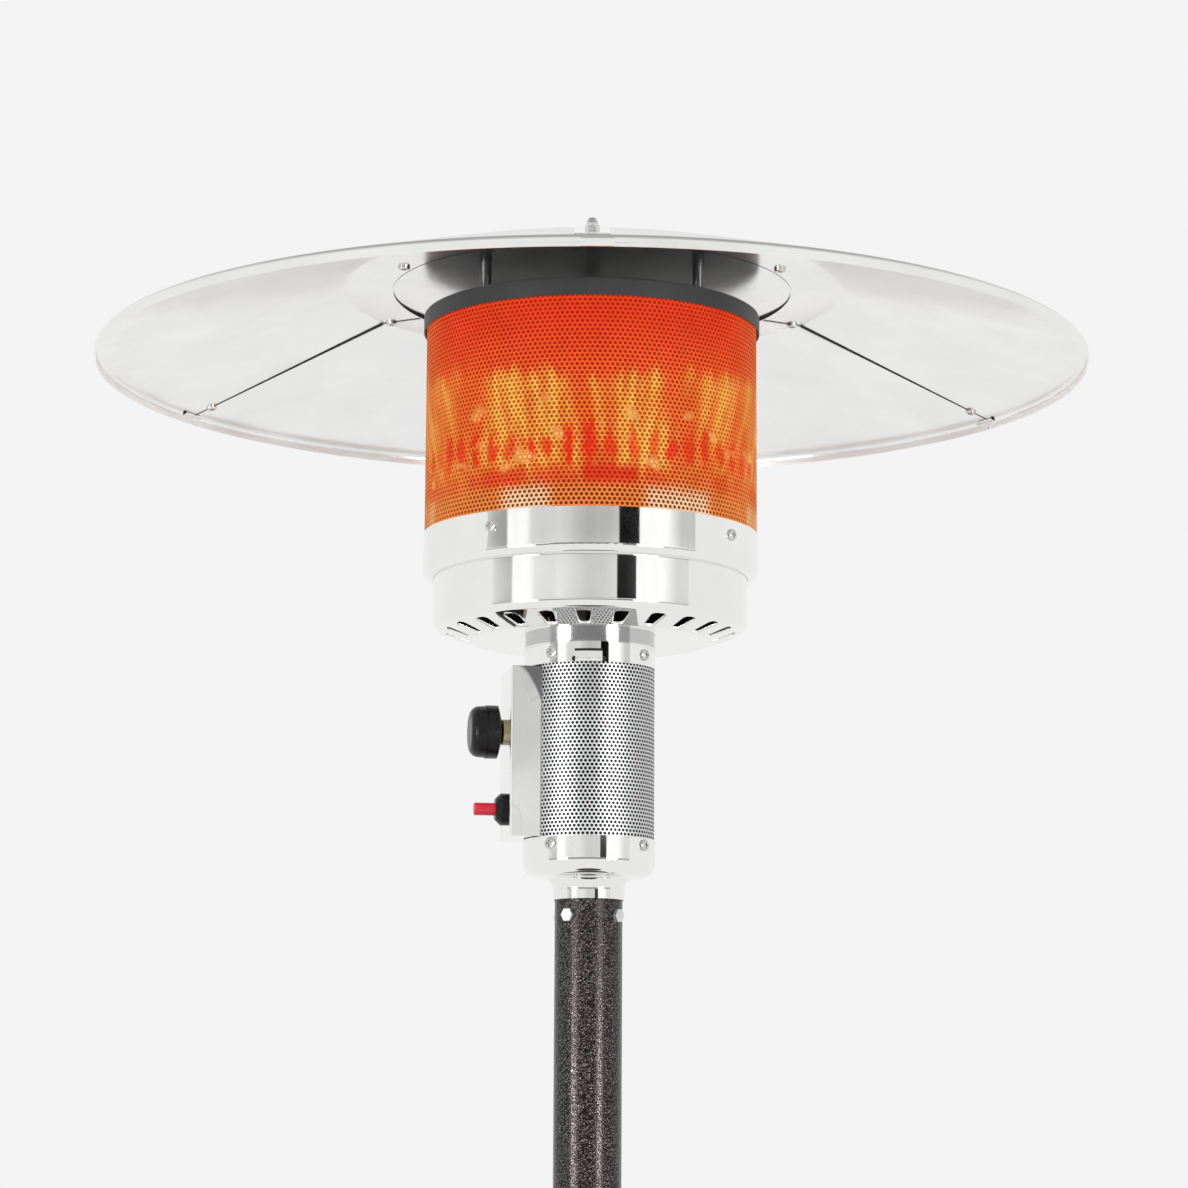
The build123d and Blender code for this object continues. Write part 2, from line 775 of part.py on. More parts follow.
# Control box: a folded cover on the side of the screen
with BuildPart() as control_box:
    with Locations((-box_face_distance, 0, box_middle)):
        Box(box_face_distance / 2, box_width, box_height, align=(Align.MIN, Align.CENTER, Align.CENTER))
    fillet(control_box.faces().sort_by(Axis.X)[0].edges(), box_corner)
    with Locations((box_sheet - box_face_distance, 0, box_middle)):
        Box(box_face_distance / 2, box_width - 2 * box_sheet, box_height - 2 * box_sheet,
            align=(Align.MIN, Align.CENTER, Align.CENTER), mode=Mode.SUBTRACT)
    with Locations((0, 0, box_middle)):
        Cylinder(screen_radius + nested_gap, 2 * box_height, mode=Mode.SUBTRACT)
    drill([along_x(box_face_distance, knob_z)], bonnet_radius + hole_gap, 3 * box_sheet)
    drill([along_x(box_face_distance, igniter_z)], igniter_body_radius + hole_gap, 3 * box_sheet)
save(control_box, "control_box")

# Gas valve: body with its bonnet through the control box, nut, plug, spindle and knob
valve_front = box_face_distance - valve_setback
valve_back = valve_front - valve_length
bonnet_length = valve_setback + bonnet_reach
port_x = -(valve_front + valve_back) / 2
valve_axis = Axis((0, 0, knob_z), (1, 0, 0))
plug_front = valve_front - plug_front_wall
plug_back = valve_back + plug_back_wall
with BuildPart() as valve_body:
    with Locations((-valve_front, 0, knob_z)):
        Box(valve_length, valve_width, valve_height, align=(Align.MIN, Align.CENTER, Align.CENTER))
    chamfer(valve_body.edges().filter_by(Axis.X), valve_chamfer)
    with Locations(along_x(valve_front, knob_z)):
        Cylinder(bonnet_radius, bonnet_length, align=BOTTOM)
        Cylinder(bonnet_bore, bonnet_length + plug_front_wall, align=BOTTOM, mode=Mode.SUBTRACT)
    with Locations(along_x(plug_back, knob_z)):
        Cylinder(plug_radius + running_gap, valve_length, align=BOTTOM, mode=Mode.SUBTRACT)
    with Locations((port_x, 0, knob_z - valve_height / 2), (port_x, 0, knob_z + valve_height / 2)):
        Cylinder(port_radius, 2 * port_height)
    with Locations((port_x, 0, knob_z - valve_height / 2 - port_height),
                   (port_x, 0, knob_z + valve_height / 2 + port_height)):
        Cylinder(gas_pipe_radius + nested_gap, 2 * port_socket, mode=Mode.SUBTRACT)
    for x, y in (pilot_tube_hole, thermocouple_hole):
        with Locations((x, y, knob_z + valve_height / 2)):
            Cylinder(pilot_tube_radius + hole_gap, 2 * small_port_depth, mode=Mode.SUBTRACT)
save(valve_body, "valve_body")

with BuildPart() as valve_nut:
    with Locations(along_x(box_face_distance, knob_z)):
        Cylinder(valve_nut_radius, valve_nut_length, align=BOTTOM)
        Cylinder(bonnet_radius + running_gap, valve_nut_length, align=BOTTOM, mode=Mode.SUBTRACT)
    chamfer(valve_nut.edges().group_by(Axis.X)[0].sort_by(SortBy.LENGTH)[-1], valve_nut_chamfer)
save(valve_nut, "valve_nut")

with BuildPart() as valve_plug:
    with Locations(along_x(plug_back + plug_end_gap, knob_z)):
        Cylinder(plug_radius, plug_front - plug_back - plug_end_gap, align=BOTTOM)
    with Locations(along_x(plug_front - spindle_in_plug - knob_travel - plug_end_gap, knob_z)):
        Cylinder(spindle_radius + running_gap, valve_length, align=BOTTOM, mode=Mode.SUBTRACT)
save(valve_plug, "valve_plug")

knob_back = box_face_distance + knob_gap
knob_seam = knob_back + knob_skirt_depth
knob_front = knob_back + knob_depth
hub_end = box_face_distance + knob_hub_gap
spindle_end = knob_seam - knob_front_wall
with BuildPart() as valve_spindle:
    with Locations(along_x(plug_front - spindle_in_plug, knob_z)):
        Cylinder(spindle_radius, spindle_end - plug_front + spindle_in_plug, align=BOTTOM)
save(valve_spindle, "valve_spindle")

knob_plane = Plane(origin=(0, 0, knob_z), x_dir=(-1, 0, 0), z_dir=(0, 1, 0))
recess_radius = valve_nut_radius + knob_recess_gap
recess_end = knob_back + knob_recess_depth
knob_skirt = solid_revolve([
    (hub_end, spindle_radius + running_gap), (hub_end, knob_hub_radius), (recess_end, knob_hub_radius),
    (recess_end, recess_radius), (knob_back, recess_radius), (knob_back + knob_skirt_taper, knob_radius),
    (knob_seam, knob_radius), (knob_seam, spindle_radius + running_gap),
], knob_plane, valve_axis)
save(knob_skirt, "knob_skirt")

with BuildPart() as knob_cap:
    with BuildSketch(knob_plane):
        with BuildLine():
            FilletPolyline((knob_seam, 0), (knob_seam, knob_radius - knob_rim_step),
                           (knob_front, knob_radius - knob_front_step), (knob_front, 0),
                           radius=[knob_rim_step, knob_corner])
            Line((knob_front, 0), (knob_seam, 0))
        make_face()
    revolve(axis=valve_axis)
save(knob_cap, "knob_cap")

# Igniter: body, bezel nut, sprung button
igniter_axis = Axis((0, 0, igniter_z), (1, 0, 0))
igniter_plane = Plane(origin=(0, 0, igniter_z), x_dir=(-1, 0, 0), z_dir=(0, 1, 0))
igniter_front = box_face_distance + igniter_body_proud
igniter_back = igniter_front - igniter_body_length
button_end = box_face_distance - button_travel
button_bore = button_radius + running_gap
spring_end = igniter_back + igniter_back_wall
igniter_body = solid_revolve([
    (igniter_back, 0), (igniter_back, igniter_body_radius),
    (igniter_front, igniter_body_radius), (igniter_front, button_bore),
    (spring_end, button_bore), (spring_end, 0),
], igniter_plane, igniter_axis)
save(igniter_body, "igniter_body")

igniter_nut = solid_revolve([
    (box_face_distance, igniter_body_radius + running_gap), (box_face_distance, igniter_nut_radius),
    (box_face_distance + igniter_nut_rim, igniter_nut_radius),
    (box_face_distance + igniter_nut_length, button_radius + igniter_nut_land),
    (box_face_distance + igniter_nut_length, button_bore), (igniter_front, button_bore),
    (igniter_front, igniter_body_radius + running_gap),
], igniter_plane, igniter_axis)
save(igniter_nut, "igniter_nut")

with BuildPart() as igniter_button:
    with Locations(along_x(button_end, igniter_z)):
        Cylinder(button_radius, box_face_distance + button_reach - button_end, align=BOTTOM)
    chamfer(igniter_button.edges().group_by(Axis.X)[0], button_chamfer)
save(igniter_button, "igniter_button")

spring_radius = button_radius - spring_side_gap
igniter_spring = solid_revolve([
    (spring_end, spring_radius), (spring_end, spring_radius - spring_wall),
    (button_end, spring_radius - spring_wall), (button_end, spring_radius),
], igniter_plane, igniter_axis)
save(igniter_spring, "igniter_spring")

# Tilt switch on the socket flange
with BuildPart() as tilt_switch:
    with Locations((*switch_place, cup_inner_floor + socket_flange)):
        Box(*switch_size, align=BOTTOM)
    chamfer(tilt_switch.edges().filter_by(Axis.Z), switch_chamfer)
save(tilt_switch, "tilt_switch")

# Gas pipe up the post, with its inlet fitting below
fitting_top = post_bottom - inlet_drop
fitting_low = fitting_top - inlet_nut_height
port_low = knob_z - valve_height / 2 - port_height
gas_pipe = tube_run(
    [(0, 0, fitting_top), (0, 0, port_low - pipe_swing_low), (port_x, 0, port_low - pipe_swing_high),
     (port_x, 0, port_low + port_tube_depth)], gas_pipe_radius, pipe_bend)
save(gas_pipe, "gas_pipe")

with BuildPart() as inlet_fitting:
    with BuildSketch(Plane.XY.offset(fitting_low)):
        RegularPolygon(inlet_nut_flats / 2, 6, major_radius=False)
    extrude(amount=inlet_nut_height)
    with Locations((0, 0, fitting_low)):
        Cylinder(flare_radius, flare_length, align=TOP)
    with Locations((0, 0, fitting_top)):
        Cylinder(gas_pipe_radius + pipe_ferrule_wall, inlet_ferrule, align=BOTTOM)
    with Locations((0, 0, fitting_low - flare_length)):
        Cylinder(inlet_bore, inlet_bore_depth, align=BOTTOM, mode=Mode.SUBTRACT)
    with Locations((0, 0, fitting_top)):
        Cylinder(gas_pipe_radius, inlet_ferrule, align=BOTTOM, mode=Mode.SUBTRACT)
save(inlet_fitting, "inlet_fitting")

# Burner housing: the slotted bowl and the collar band round its rim
def keystone_slot():
    """The plan of one slot: wider outside, with round outer corners."""
    with BuildSketch() as slot:
        with BuildLine():
            Polyline((slot_inner_radius, -slot_inner_width / 2), (slot_outer_radius, -slot_outer_width / 2),
                     (slot_outer_radius, slot_outer_width / 2), (slot_inner_radius, slot_inner_width / 2),
                     close=True)
        make_face()
        fillet(slot.vertices().group_by(Axis.X)[-1], slot_outer_fillet)
        fillet(slot.vertices().group_by(Axis.X)[0], slot_inner_fillet)
    return slot.sketch


collar_screw_planes = [outward(collar_radius, azimuth, collar_top - collar_screw_drop)
                       for azimuth in fastener_azimuths]
with BuildPart() as burner_bowl:
    add(thin_revolve(
        [(bowl_mouth, bowl_floor), (bowl_floor_radius, bowl_floor),
         (bowl_radius, bowl_floor + bowl_cone_rise * (bowl_radius - bowl_floor_radius)
          / (bowl_cone_radius - bowl_floor_radius)),
         (bowl_radius, bowl_floor + bowl_band_top)],
        bowl_bends, head_sheet, Side.LEFT,
    ).part)
    with BuildSketch(Plane.XY.offset(bowl_floor - 1)):
        with PolarLocations(0, slot_count, start_angle=slot_clocking):
            add(keystone_slot())
    extrude(amount=2 * bowl_cone_rise, mode=Mode.SUBTRACT)
    drill(collar_screw_planes, screw_shank_radius + hole_gap, collar_screw_shank)
save(burner_bowl, "burner_bowl")

with BuildPart() as collar_band:
    add(thin_revolve(
        [(collar_radius, collar_top), (collar_radius, collar_low), (bowl_radius + nested_gap, collar_low)],
        [collar_fillet], head_sheet, Side.RIGHT,
    ).part)
    drill(collar_screw_planes, screw_shank_radius + hole_gap, 3 * head_sheet)
save(collar_band, "collar_band")

collar_screws = group(pan_screw(collar_screw_shank), collar_screw_planes)
save(collar_screws, "collar_screws")

# Emitter: the screen inside the collar and the cap on top of it
cap_underside = cap_top - cap_sheet
strut_planes = [upward(strut_ring_radius, azimuth, cap_top) for azimuth in petal_azimuths]
with BuildPart() as emitter_screen:
    with BuildSketch(Plane.XY.offset(collar_top - emitter_lap)):
        Circle(emitter_radius)
        Circle(emitter_radius - head_sheet, mode=Mode.SUBTRACT)
    extrude(amount=cap_underside - collar_top + emitter_lap)
    drill(collar_screw_planes, screw_shank_radius + hole_gap, 6 * head_sheet)
save(emitter_screen, "emitter_screen")

with BuildPart() as emitter_cap:
    add(thin_revolve([(0, cap_top), (cap_radius, cap_top), (cap_radius, cap_bottom)],
                     [cap_corner], cap_sheet, Side.RIGHT).part)
    drill(strut_planes, strut_stud_radius + hole_gap, 4 * cap_sheet)
save(emitter_cap, "emitter_cap")

# Struts between cap and reflector, with wing nuts above the centre plate
plate_top = petal_top + reflector_sheet
with BuildPart() as reflector_struts:
    with Locations(*strut_planes):
        Cylinder(strut_radius, petal_top - cap_top, align=BOTTOM)
        Cylinder(strut_stud_radius, petal_top - cap_top + strut_stud_height, align=BOTTOM)
        Cylinder(strut_stud_radius, strut_stud_drop, align=TOP)
    with Locations(*[downward(strut_ring_radius, azimuth, cap_underside) for azimuth in petal_azimuths]):
        add(hex_nut(strut_stud_radius))
save(reflector_struts, "reflector_struts")


def wing_nut():
    with BuildPart() as nut:
        Cylinder(wing_nut_hub, wing_nut_height, align=BOTTOM)
        with BuildSketch(Plane.XZ):
            with Locations((-wing_offset, wing_rise), (wing_offset, wing_rise)):
                Ellipse(wing_half_length, wing_half_height)
        extrude(amount=wing_sheet / 2, both=True)
        Cylinder(strut_stud_radius + nested_gap, 4 * wing_nut_height, mode=Mode.SUBTRACT)
    return nut.part


strut_nuts = group(wing_nut(), [upward(strut_ring_radius, azimuth, plate_top)
                                for azimuth in petal_azimuths])
save(strut_nuts, "strut_nuts")

# Reflector: a flat ring and a cone with a turned down rim, in three lapped petals
petal_screw_planes = [downward(petal_screw_radius, azimuth, petal_floor) for azimuth in petal_azimuths]
slope = (reflector_drop - reflector_lip) / (reflector_radius - reflector_ring_radius)
rim_top = rim_bottom + reflector_lip
seam_outer_floor = petal_floor - slope * (seam_screw_outer_radius - reflector_ring_radius)
seam_screw_planes = [downward(seam_screw_inner_radius, azimuth, petal_floor) for azimuth in seam_azimuths]
cone_length = sqrt(1 + slope**2)


def on_cone_face(azimuth, height, facing):
    """A plane on the cone at the outer seam screw, above its floor by a height square to it."""
    normal = (slope * cos(radians(azimuth)) / cone_length, slope * sin(radians(azimuth)) / cone_length,
              1 / cone_length)
    foot = Vector(*polar(seam_screw_outer_radius, azimuth, seam_outer_floor))
    tangent = (-sin(radians(azimuth)), cos(radians(azimuth)), 0)
    return Plane(origin=foot + Vector(*normal) * height, x_dir=tangent, z_dir=Vector(*normal) * facing)


rim_screw_planes = [on_cone_face(azimuth, 0, -1) for azimuth in seam_azimuths]
reflector_screw_planes = seam_screw_planes + rim_screw_planes + petal_screw_planes
reflector_outline = [(reflector_hole_radius, petal_floor), (reflector_ring_radius, petal_floor),
                     (reflector_radius, rim_top), (reflector_radius, rim_bottom)]
reflector_skin = thin_revolve(reflector_outline, [ring_bend, rim_bend], reflector_sheet, Side.LEFT).part


def raised_skin(height, wall):
    """The skin where petals lap, raised square to its face by the given height."""
    on_cone = height * sqrt(1 + slope**2)
    corner = reflector_ring_radius + (on_cone - height) / slope
    outer = petal_floor + on_cone - slope * (lap_outer_radius - reflector_ring_radius)
    outline = [(lap_inner_radius, petal_floor + height), (corner, petal_floor + height),
               (lap_outer_radius, outer)]
    return thin_revolve(outline, [ring_bend + height], wall, Side.LEFT).part


lap_skin = raised_skin(reflector_sheet + running_gap, reflector_sheet)
lap_root = raised_skin(reflector_sheet / 2, reflector_sheet * 1.5 + running_gap)
for number, azimuth in enumerate(seam_azimuths, start=1):
    seam = Plane(origin=(0, 0, petal_floor), x_dir=polar(1, azimuth, 0), z_dir=(0, 0, 1))
    with BuildPart() as petal:
        add(reflector_skin)
        with BuildSketch(Plane.XY.offset(rim_bottom - 1)):
            with BuildLine():
                Polyline((0, 0), polar(2 * reflector_radius, azimuth, 0)[:2],
                         polar(3 * reflector_radius, azimuth + 180 / petal_count, 0)[:2],
                         polar(2 * reflector_radius, azimuth + 360 / petal_count, 0)[:2], close=True)
            make_face()
            offset(amount=-seam_gap / 2)
        extrude(amount=2 * reflector_drop, mode=Mode.INTERSECT)
    with BuildPart() as lap:
        add(lap_skin)
        with BuildSketch(seam.offset(-reflector_drop)):
            Rectangle(2 * reflector_radius, lap_width, align=(Align.MIN, Align.CENTER))
        extrude(amount=2 * reflector_drop, mode=Mode.INTERSECT)
    with BuildPart() as root:
        add(lap_root)
        with BuildSketch(seam.offset(-reflector_drop)):
            with Locations((0, seam_gap)):
                Rectangle(2 * reflector_radius, lap_width / 2 - seam_gap, align=(Align.MIN, Align.MIN))
        extrude(amount=2 * reflector_drop, mode=Mode.INTERSECT)
    with BuildPart() as reflector_petal:
        add(petal.part)
        add(root.part)
        add(lap.part)
        drill(reflector_screw_planes, screw_shank_radius + hole_gap, 4 * reflector_sheet)
    save(reflector_petal, f"reflector_petal_{number}")

with BuildPart() as reflector_centre:
    with BuildSketch(Plane.XY.offset(petal_top)):
        Circle(centre_plate_radius)
    extrude(amount=reflector_sheet)
    drill(petal_screw_planes, screw_shank_radius + hole_gap, 4 * reflector_sheet)
    drill([upward(strut_ring_radius, azimuth, petal_top) for azimuth in petal_azimuths],
          strut_stud_radius + hole_gap, 4 * reflector_sheet)
save(reflector_centre, "reflector_centre")

lap_stack = 2 * reflector_sheet + running_gap
reflector_screw_shank = lap_stack + cap_nut_height + cap_nut_spare / 2


def cap_nut():
    """A domed hexagon nut on +Z, closed at its top."""
    with BuildPart() as nut:
        with BuildSketch():
            RegularPolygon(cap_nut_flats / 2, 6, major_radius=False)
        extrude(amount=cap_nut_height)
        with Locations((0, 0, cap_nut_height)):
            Sphere(cap_nut_dome)
        Box(2 * cap_nut_flats, 2 * cap_nut_flats, cap_nut_flats, align=TOP, mode=Mode.SUBTRACT)
        Cylinder(screw_shank_radius, cap_nut_height + cap_nut_spare, align=BOTTOM, mode=Mode.SUBTRACT)
    return nut.part


with BuildPart() as reflector_screws:
    with Locations(*reflector_screw_planes):
        add(pan_screw(reflector_screw_shank))
    nut_seats = [upward(seam_screw_inner_radius, azimuth, petal_floor + lap_stack)
                 for azimuth in seam_azimuths]
    nut_seats += [upward(petal_screw_radius, azimuth, plate_top) for azimuth in petal_azimuths]
    nut_seats += [on_cone_face(azimuth, lap_stack, 1) for azimuth in seam_azimuths]
    with Locations(*nut_seats):
        add(cap_nut())
save(reflector_screws, "reflector_screws")

# Burner: injector, mixer tube with drum, and the tube that feeds them
burner_floor = bowl_floor + burner_rise
burner_top = burner_floor + burner_height
injector_low = bowl_floor - injector_drop
port_high = knob_z + valve_height / 2 + port_height
with BuildPart() as injector:
    with Locations((0, 0, injector_low)):
        Cylinder(injector_radius, injector_drop + injector_reach, align=BOTTOM)
    with BuildSketch(Plane.XY.offset(bowl_floor)):
        RegularPolygon(mixer_radius + injector_hex_wall, 6, major_radius=False)
    extrude(amount=injector_collar)
    with Locations((0, 0, injector_low)):
        Cylinder(main_tube_radius + nested_gap, injector_socket, align=BOTTOM, mode=Mode.SUBTRACT)
save(injector, "injector")

main_gas_tube = tube_run(
    [(port_x, 0, port_high - port_tube_depth), (port_x, 0, port_high + main_tube_rise),
     (0, 0, injector_low - main_tube_swing), (0, 0, injector_low + injector_tube_depth)],
    main_tube_radius, main_tube_bend)
save(main_gas_tube, "main_gas_tube")

with BuildPart() as burner_head:
    add(solid_revolve([
        (mixer_radius - burner_sheet, bowl_floor + injector_collar),
        (mixer_radius, bowl_floor + injector_collar), (mixer_radius, burner_floor),
        (burner_radius, burner_floor), (burner_radius, burner_top), (0, burner_top),
        (0, burner_top - burner_sheet), (burner_radius - burner_sheet, burner_top - burner_sheet),
        (burner_radius - burner_sheet, burner_floor + burner_sheet),
        (mixer_radius - burner_sheet, burner_floor + burner_sheet),
    ]).part)
    with Locations((0, 0, bowl_floor + injector_collar + air_window_height / 2 + air_window_rise)):
        Box(4 * mixer_radius, air_window_width, air_window_height, mode=Mode.SUBTRACT)
        Box(air_window_width, 4 * mixer_radius, air_window_height, mode=Mode.SUBTRACT)
    with Locations((0, 0, burner_top)):
        with PolarLocations(port_ring_outer, port_ring_outer_count):
            Cylinder(burner_port_radius, 4 * burner_sheet, mode=Mode.SUBTRACT)
        with PolarLocations(port_ring_inner, port_ring_inner_count):
            Cylinder(burner_port_radius, 4 * burner_sheet, mode=Mode.SUBTRACT)
save(burner_head, "burner_head")

# Pilot, electrode and thermocouple between the burner drum and the bowl, above the control box
pilot_z = bowl_floor + pilot_rise
pilot_strap_x = -(bowl_radius - head_sheet - pilot_strap_gap)
with BuildPart() as pilot_burner:
    with Locations((-pilot_radius, 0, pilot_z)):
        Cylinder(pilot_body_radius, pilot_body_height, align=BOTTOM)
        Box(pilot_bracket, pilot_bracket_width, pilot_bracket_sheet, align=BOTTOM)
    with Locations((pilot_strap_x, 0, pilot_z)):
        Box(-pilot_strap_x - pilot_radius, pilot_strap_width, pilot_bracket_sheet,
            align=(Align.MIN, Align.CENTER, Align.MIN))
        Box(pilot_strap_sheet, pilot_strap_width, pilot_strap_drop,
            align=(Align.MIN, Align.CENTER, Align.MAX))
    with Locations((-pilot_radius, 0, pilot_z)):
        Cylinder(pilot_tube_radius + hole_gap, 2 * pilot_socket, mode=Mode.SUBTRACT)
    with Locations((-pilot_radius, probe_side, pilot_z), (-pilot_radius, -probe_side, pilot_z)):
        Cylinder(lead_radius + hole_gap, 2 * pilot_socket, mode=Mode.SUBTRACT)
save(pilot_burner, "pilot_burner")

below_burner = bowl_floor + below_burner_rise
valve_top = knob_z + valve_height / 2
pilot_tube = tube_run(
    [(*pilot_tube_hole, valve_top - small_tube_depth), (*pilot_tube_hole, below_burner),
     (-pilot_radius, 0, below_burner + pilot_tube_climb), (-pilot_radius, 0, pilot_z + pilot_tube_depth)],
    pilot_tube_radius, small_tube_bend)
save(pilot_tube, "pilot_tube")

thermocouple = tube_run(
    [(*thermocouple_hole, valve_top - small_tube_depth),
     (*thermocouple_hole, below_burner - small_tube_spacing),
     (-pilot_radius, -probe_side, below_burner + thermocouple_climb),
     (-pilot_radius, -probe_side, pilot_z + pilot_body_height)],
    lead_radius, small_tube_bend)
save(thermocouple, "thermocouple")

with BuildPart() as electrode:
    with Locations((-pilot_radius, probe_side, pilot_z + electrode_seat)):
        Cylinder(electrode_radius, electrode_body_height, align=BOTTOM)
        Cylinder(electrode_tip_radius, electrode_height, align=BOTTOM)
save(electrode, "electrode")

lead_start = -igniter_back
ignition_lead = tube_run(
    [(lead_start, 0, igniter_z), (lead_start + lead_tail, 0, igniter_z),
     (lead_hole[0] + lead_turn[0], lead_hole[1] + lead_turn[1], igniter_z + lead_turn[2]),
     (*lead_hole, igniter_z + lead_turn_height),
     (*lead_hole, below_burner - small_tube_spacing),
     (-pilot_radius, probe_side, below_burner + lead_climb),
     (-pilot_radius, probe_side, pilot_z + electrode_seat)],
    lead_radius, lead_bend)
save(ignition_lead, "ignition_lead")

print("overall height", round(plate_top + strut_stud_height, 1))
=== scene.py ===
from math import asin, atan2, cos, hypot, pi, radians, sin, sqrt, tan

import bmesh
import bpy
from mathutils import Matrix, Vector


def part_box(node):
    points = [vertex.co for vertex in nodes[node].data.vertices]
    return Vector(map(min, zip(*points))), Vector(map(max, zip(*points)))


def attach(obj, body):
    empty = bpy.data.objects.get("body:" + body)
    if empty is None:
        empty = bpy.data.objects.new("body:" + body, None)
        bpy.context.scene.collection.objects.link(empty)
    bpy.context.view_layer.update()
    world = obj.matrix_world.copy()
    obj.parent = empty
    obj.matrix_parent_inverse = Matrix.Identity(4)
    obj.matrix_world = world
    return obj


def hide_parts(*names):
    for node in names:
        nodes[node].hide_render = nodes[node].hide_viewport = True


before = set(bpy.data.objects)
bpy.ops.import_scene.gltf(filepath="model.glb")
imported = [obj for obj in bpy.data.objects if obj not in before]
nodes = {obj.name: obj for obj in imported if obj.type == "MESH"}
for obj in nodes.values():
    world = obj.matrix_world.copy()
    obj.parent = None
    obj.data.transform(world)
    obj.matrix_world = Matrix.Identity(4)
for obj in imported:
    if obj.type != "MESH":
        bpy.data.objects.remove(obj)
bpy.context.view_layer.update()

# A gas patio heater, in metres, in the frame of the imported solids

# Camera
photo_pixels = 1188
focal_pixels = 3450
sensor_width = 36.0
camera_azimuth = radians(260)
camera_distance = 2.78
camera_height = 1.4825
camera_pitch = radians(9.4)
camera_roll = radians(0.3)
camera_aim_right = 0.003

# Sheets
head_sheet = 0.0008
merge_reach = 1e-6
ring_tolerance = 1e-5
near_enough = 1e-4
bend_support = 0.0007
full_turn = 2 * pi
round_steps = 192
smooth_up_to = radians(35)
far_above = (0, 0, 3.0)
side_on = 0.5
end_on = 0.7

# Reflector
petal_count = 3
petal_spare = radians(1)
petal_steps = 88
seam_clocking = radians(20)
seam_gap = 0.0008
seam_mouth_gap = 0.0012
lap_half_width = 0.013
lap_inner_radius = 0.188
lap_outer_radius = 0.396
lap_gap = 0.00005
lap_spare = 1.05
lap_steps = 8
mouth_radius = 0.165
ring_radius = 0.206
rim_radius = 0.4058
reflector_drop = 0.0684
reflector_lip = 0.008
ring_bend = 0.014
rim_bend = 0.003
rim_step_rise = 0.0034
rim_step_slope = 0.0004
rim_step_depth = 0.0006
rim_hem_drop = 0.0035
seam_lip_deep = 0.0015
seam_lip_shallow = 0.0005
mouth_lip_deep = 0.0013
mouth_lip_shallow = 0.0003
mouth_lip_spread = 0.16
join_length = 0.024
join_lead = 0.35
join_inset = 0.0035
join_rise = 0.0006
join_shoulder = 0.0014
join_stand_off = 0.0012
join_bend = 0.0016
join_wall = 0.0009
join_steps = 6

# Screens
weld_share = 0.05
emitter_columns = 213
emitter_sectors = 3
emitter_hole_radius = 0.00136
emitter_overlap = 0.006
emitter_foot_drop = 0.005
flame_sheet_gap = 0.0045
flame_sheet_rise = 0.012
flame_sheet_wall = 0.0004
screen_columns = 94
screen_hole_radius = 0.00120
screen_end_trim = 0.001
# A near-black sheet inside the control screen, as painted shade behind its holes
screen_shade_sheet_gap = 0.0026
screen_shade_sheet_wall = 0.0003
screen_shade_sheet_steps = 96
window_half_angle = radians(30)

# Bowl
bowl_hole_radius = 0.047
bowl_floor_radius = 0.097
bowl_cone_radius = 0.1215
bowl_cone_rise = 0.0085
bowl_bends = (0.003, 0.007)
slot_count = 24
slot_clocking = radians(2.5)
slot_inner_radius = 0.0978
slot_outer_radius = 0.1196
slot_inner_width = 0.0094
slot_outer_width = 0.0150
slot_corner = 0.0050
slot_lip_steps = ((0.0005, -0.00015), (0.0005, -0.0004), (0.0002, -0.0005))
slot_lip_height = 0.0008

# Control box, neck clip and cup
box_reach = 0.069
box_top = 1.878
box_shade_length = 0.025
box_shade_depth = 0.028
clip_azimuth = radians(259)
clip_width = 0.0215
clip_height = 0.0085
clip_wall = 0.0007
clip_steps = 12
clip_top_gap = 0.0001
clip_flare = 0.0006
clip_bend_drop = 0.0008
clip_foot_flare = 0.0012
clip_foot_rise = 0.0004
clip_notch = 0.0023
clip_notch_depth = 0.0006
clip_slot_spread = 1.06
clip_slot_gap = 0.00005
clip_slot_height = 0.0021
clip_slot_wall = 0.0003
cup_shoulder_drop = 0.030
cup_neck_radius = 0.0288
cup_bends = (0.012, 0.0102)
cup_neck_trim = 0.002


def low_of(node):
    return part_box(node)[0].z


def high_of(node):
    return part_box(node)[1].z


def radius_of(node):
    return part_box(node)[1].x


# Meshes
def spin_profile(points, start=0.0, sweep=full_turn, steps=round_steps):
    """A skin of revolution about the heater's axis, from points of radius and height."""
    shape = bmesh.new()
    turn = Matrix.Rotation(start, 3, "Z")
    corners = [shape.verts.new(turn @ Vector((radius, 0, height))) for radius, height in points]
    edges = [shape.edges.new(pair) for pair in zip(corners, corners[1:])]
    bmesh.ops.spin(shape, geom=corners + edges, cent=(0, 0, 0), axis=(0, 0, 1), angle=sweep,
                   steps=steps, use_merge=sweep == full_turn)
    bmesh.ops.remove_doubles(shape, verts=shape.verts, dist=merge_reach)
    return shape


def held(points, bends):
    """The outline with a point just past each end of a bend, so that the long faces shade as flat."""
    made = [points[0]]
    for before, corner, after, bend in zip(points, points[1:], points[2:], bends):
        first = Vector(before) - Vector(corner)
        last = Vector(after) - Vector(corner)
        reach = bend * tan((pi - first.angle(last)) / 2) + bend_support
        supports = [[tuple(Vector(corner) + way.normalized() * reach)] if bend and reach < way.length else []
                    for way in (first, last)]
        made += supports[0] + [corner] + supports[1]
    return made + [points[-1]]


def on_ring(vertex, radius, height):
    return abs(hypot(*vertex.co.xy) - radius) < ring_tolerance and abs(vertex.co.z - height) < ring_tolerance


def bend_ring(shape, radius, height, bend, segments=6):
    """Round the corner that runs round the heater at a radius and height."""
    ring = [edge for edge in shape.edges
            if all(on_ring(vertex, radius, height) for vertex in edge.verts)]
    turns = [edge.calc_face_angle() for edge in ring if len(edge.link_faces) == 2]
    bmesh.ops.bevel(shape, geom=ring, offset=bend * tan(turns[0] / 2), segments=segments,
                    profile=0.5, affect="EDGES", material=-1)


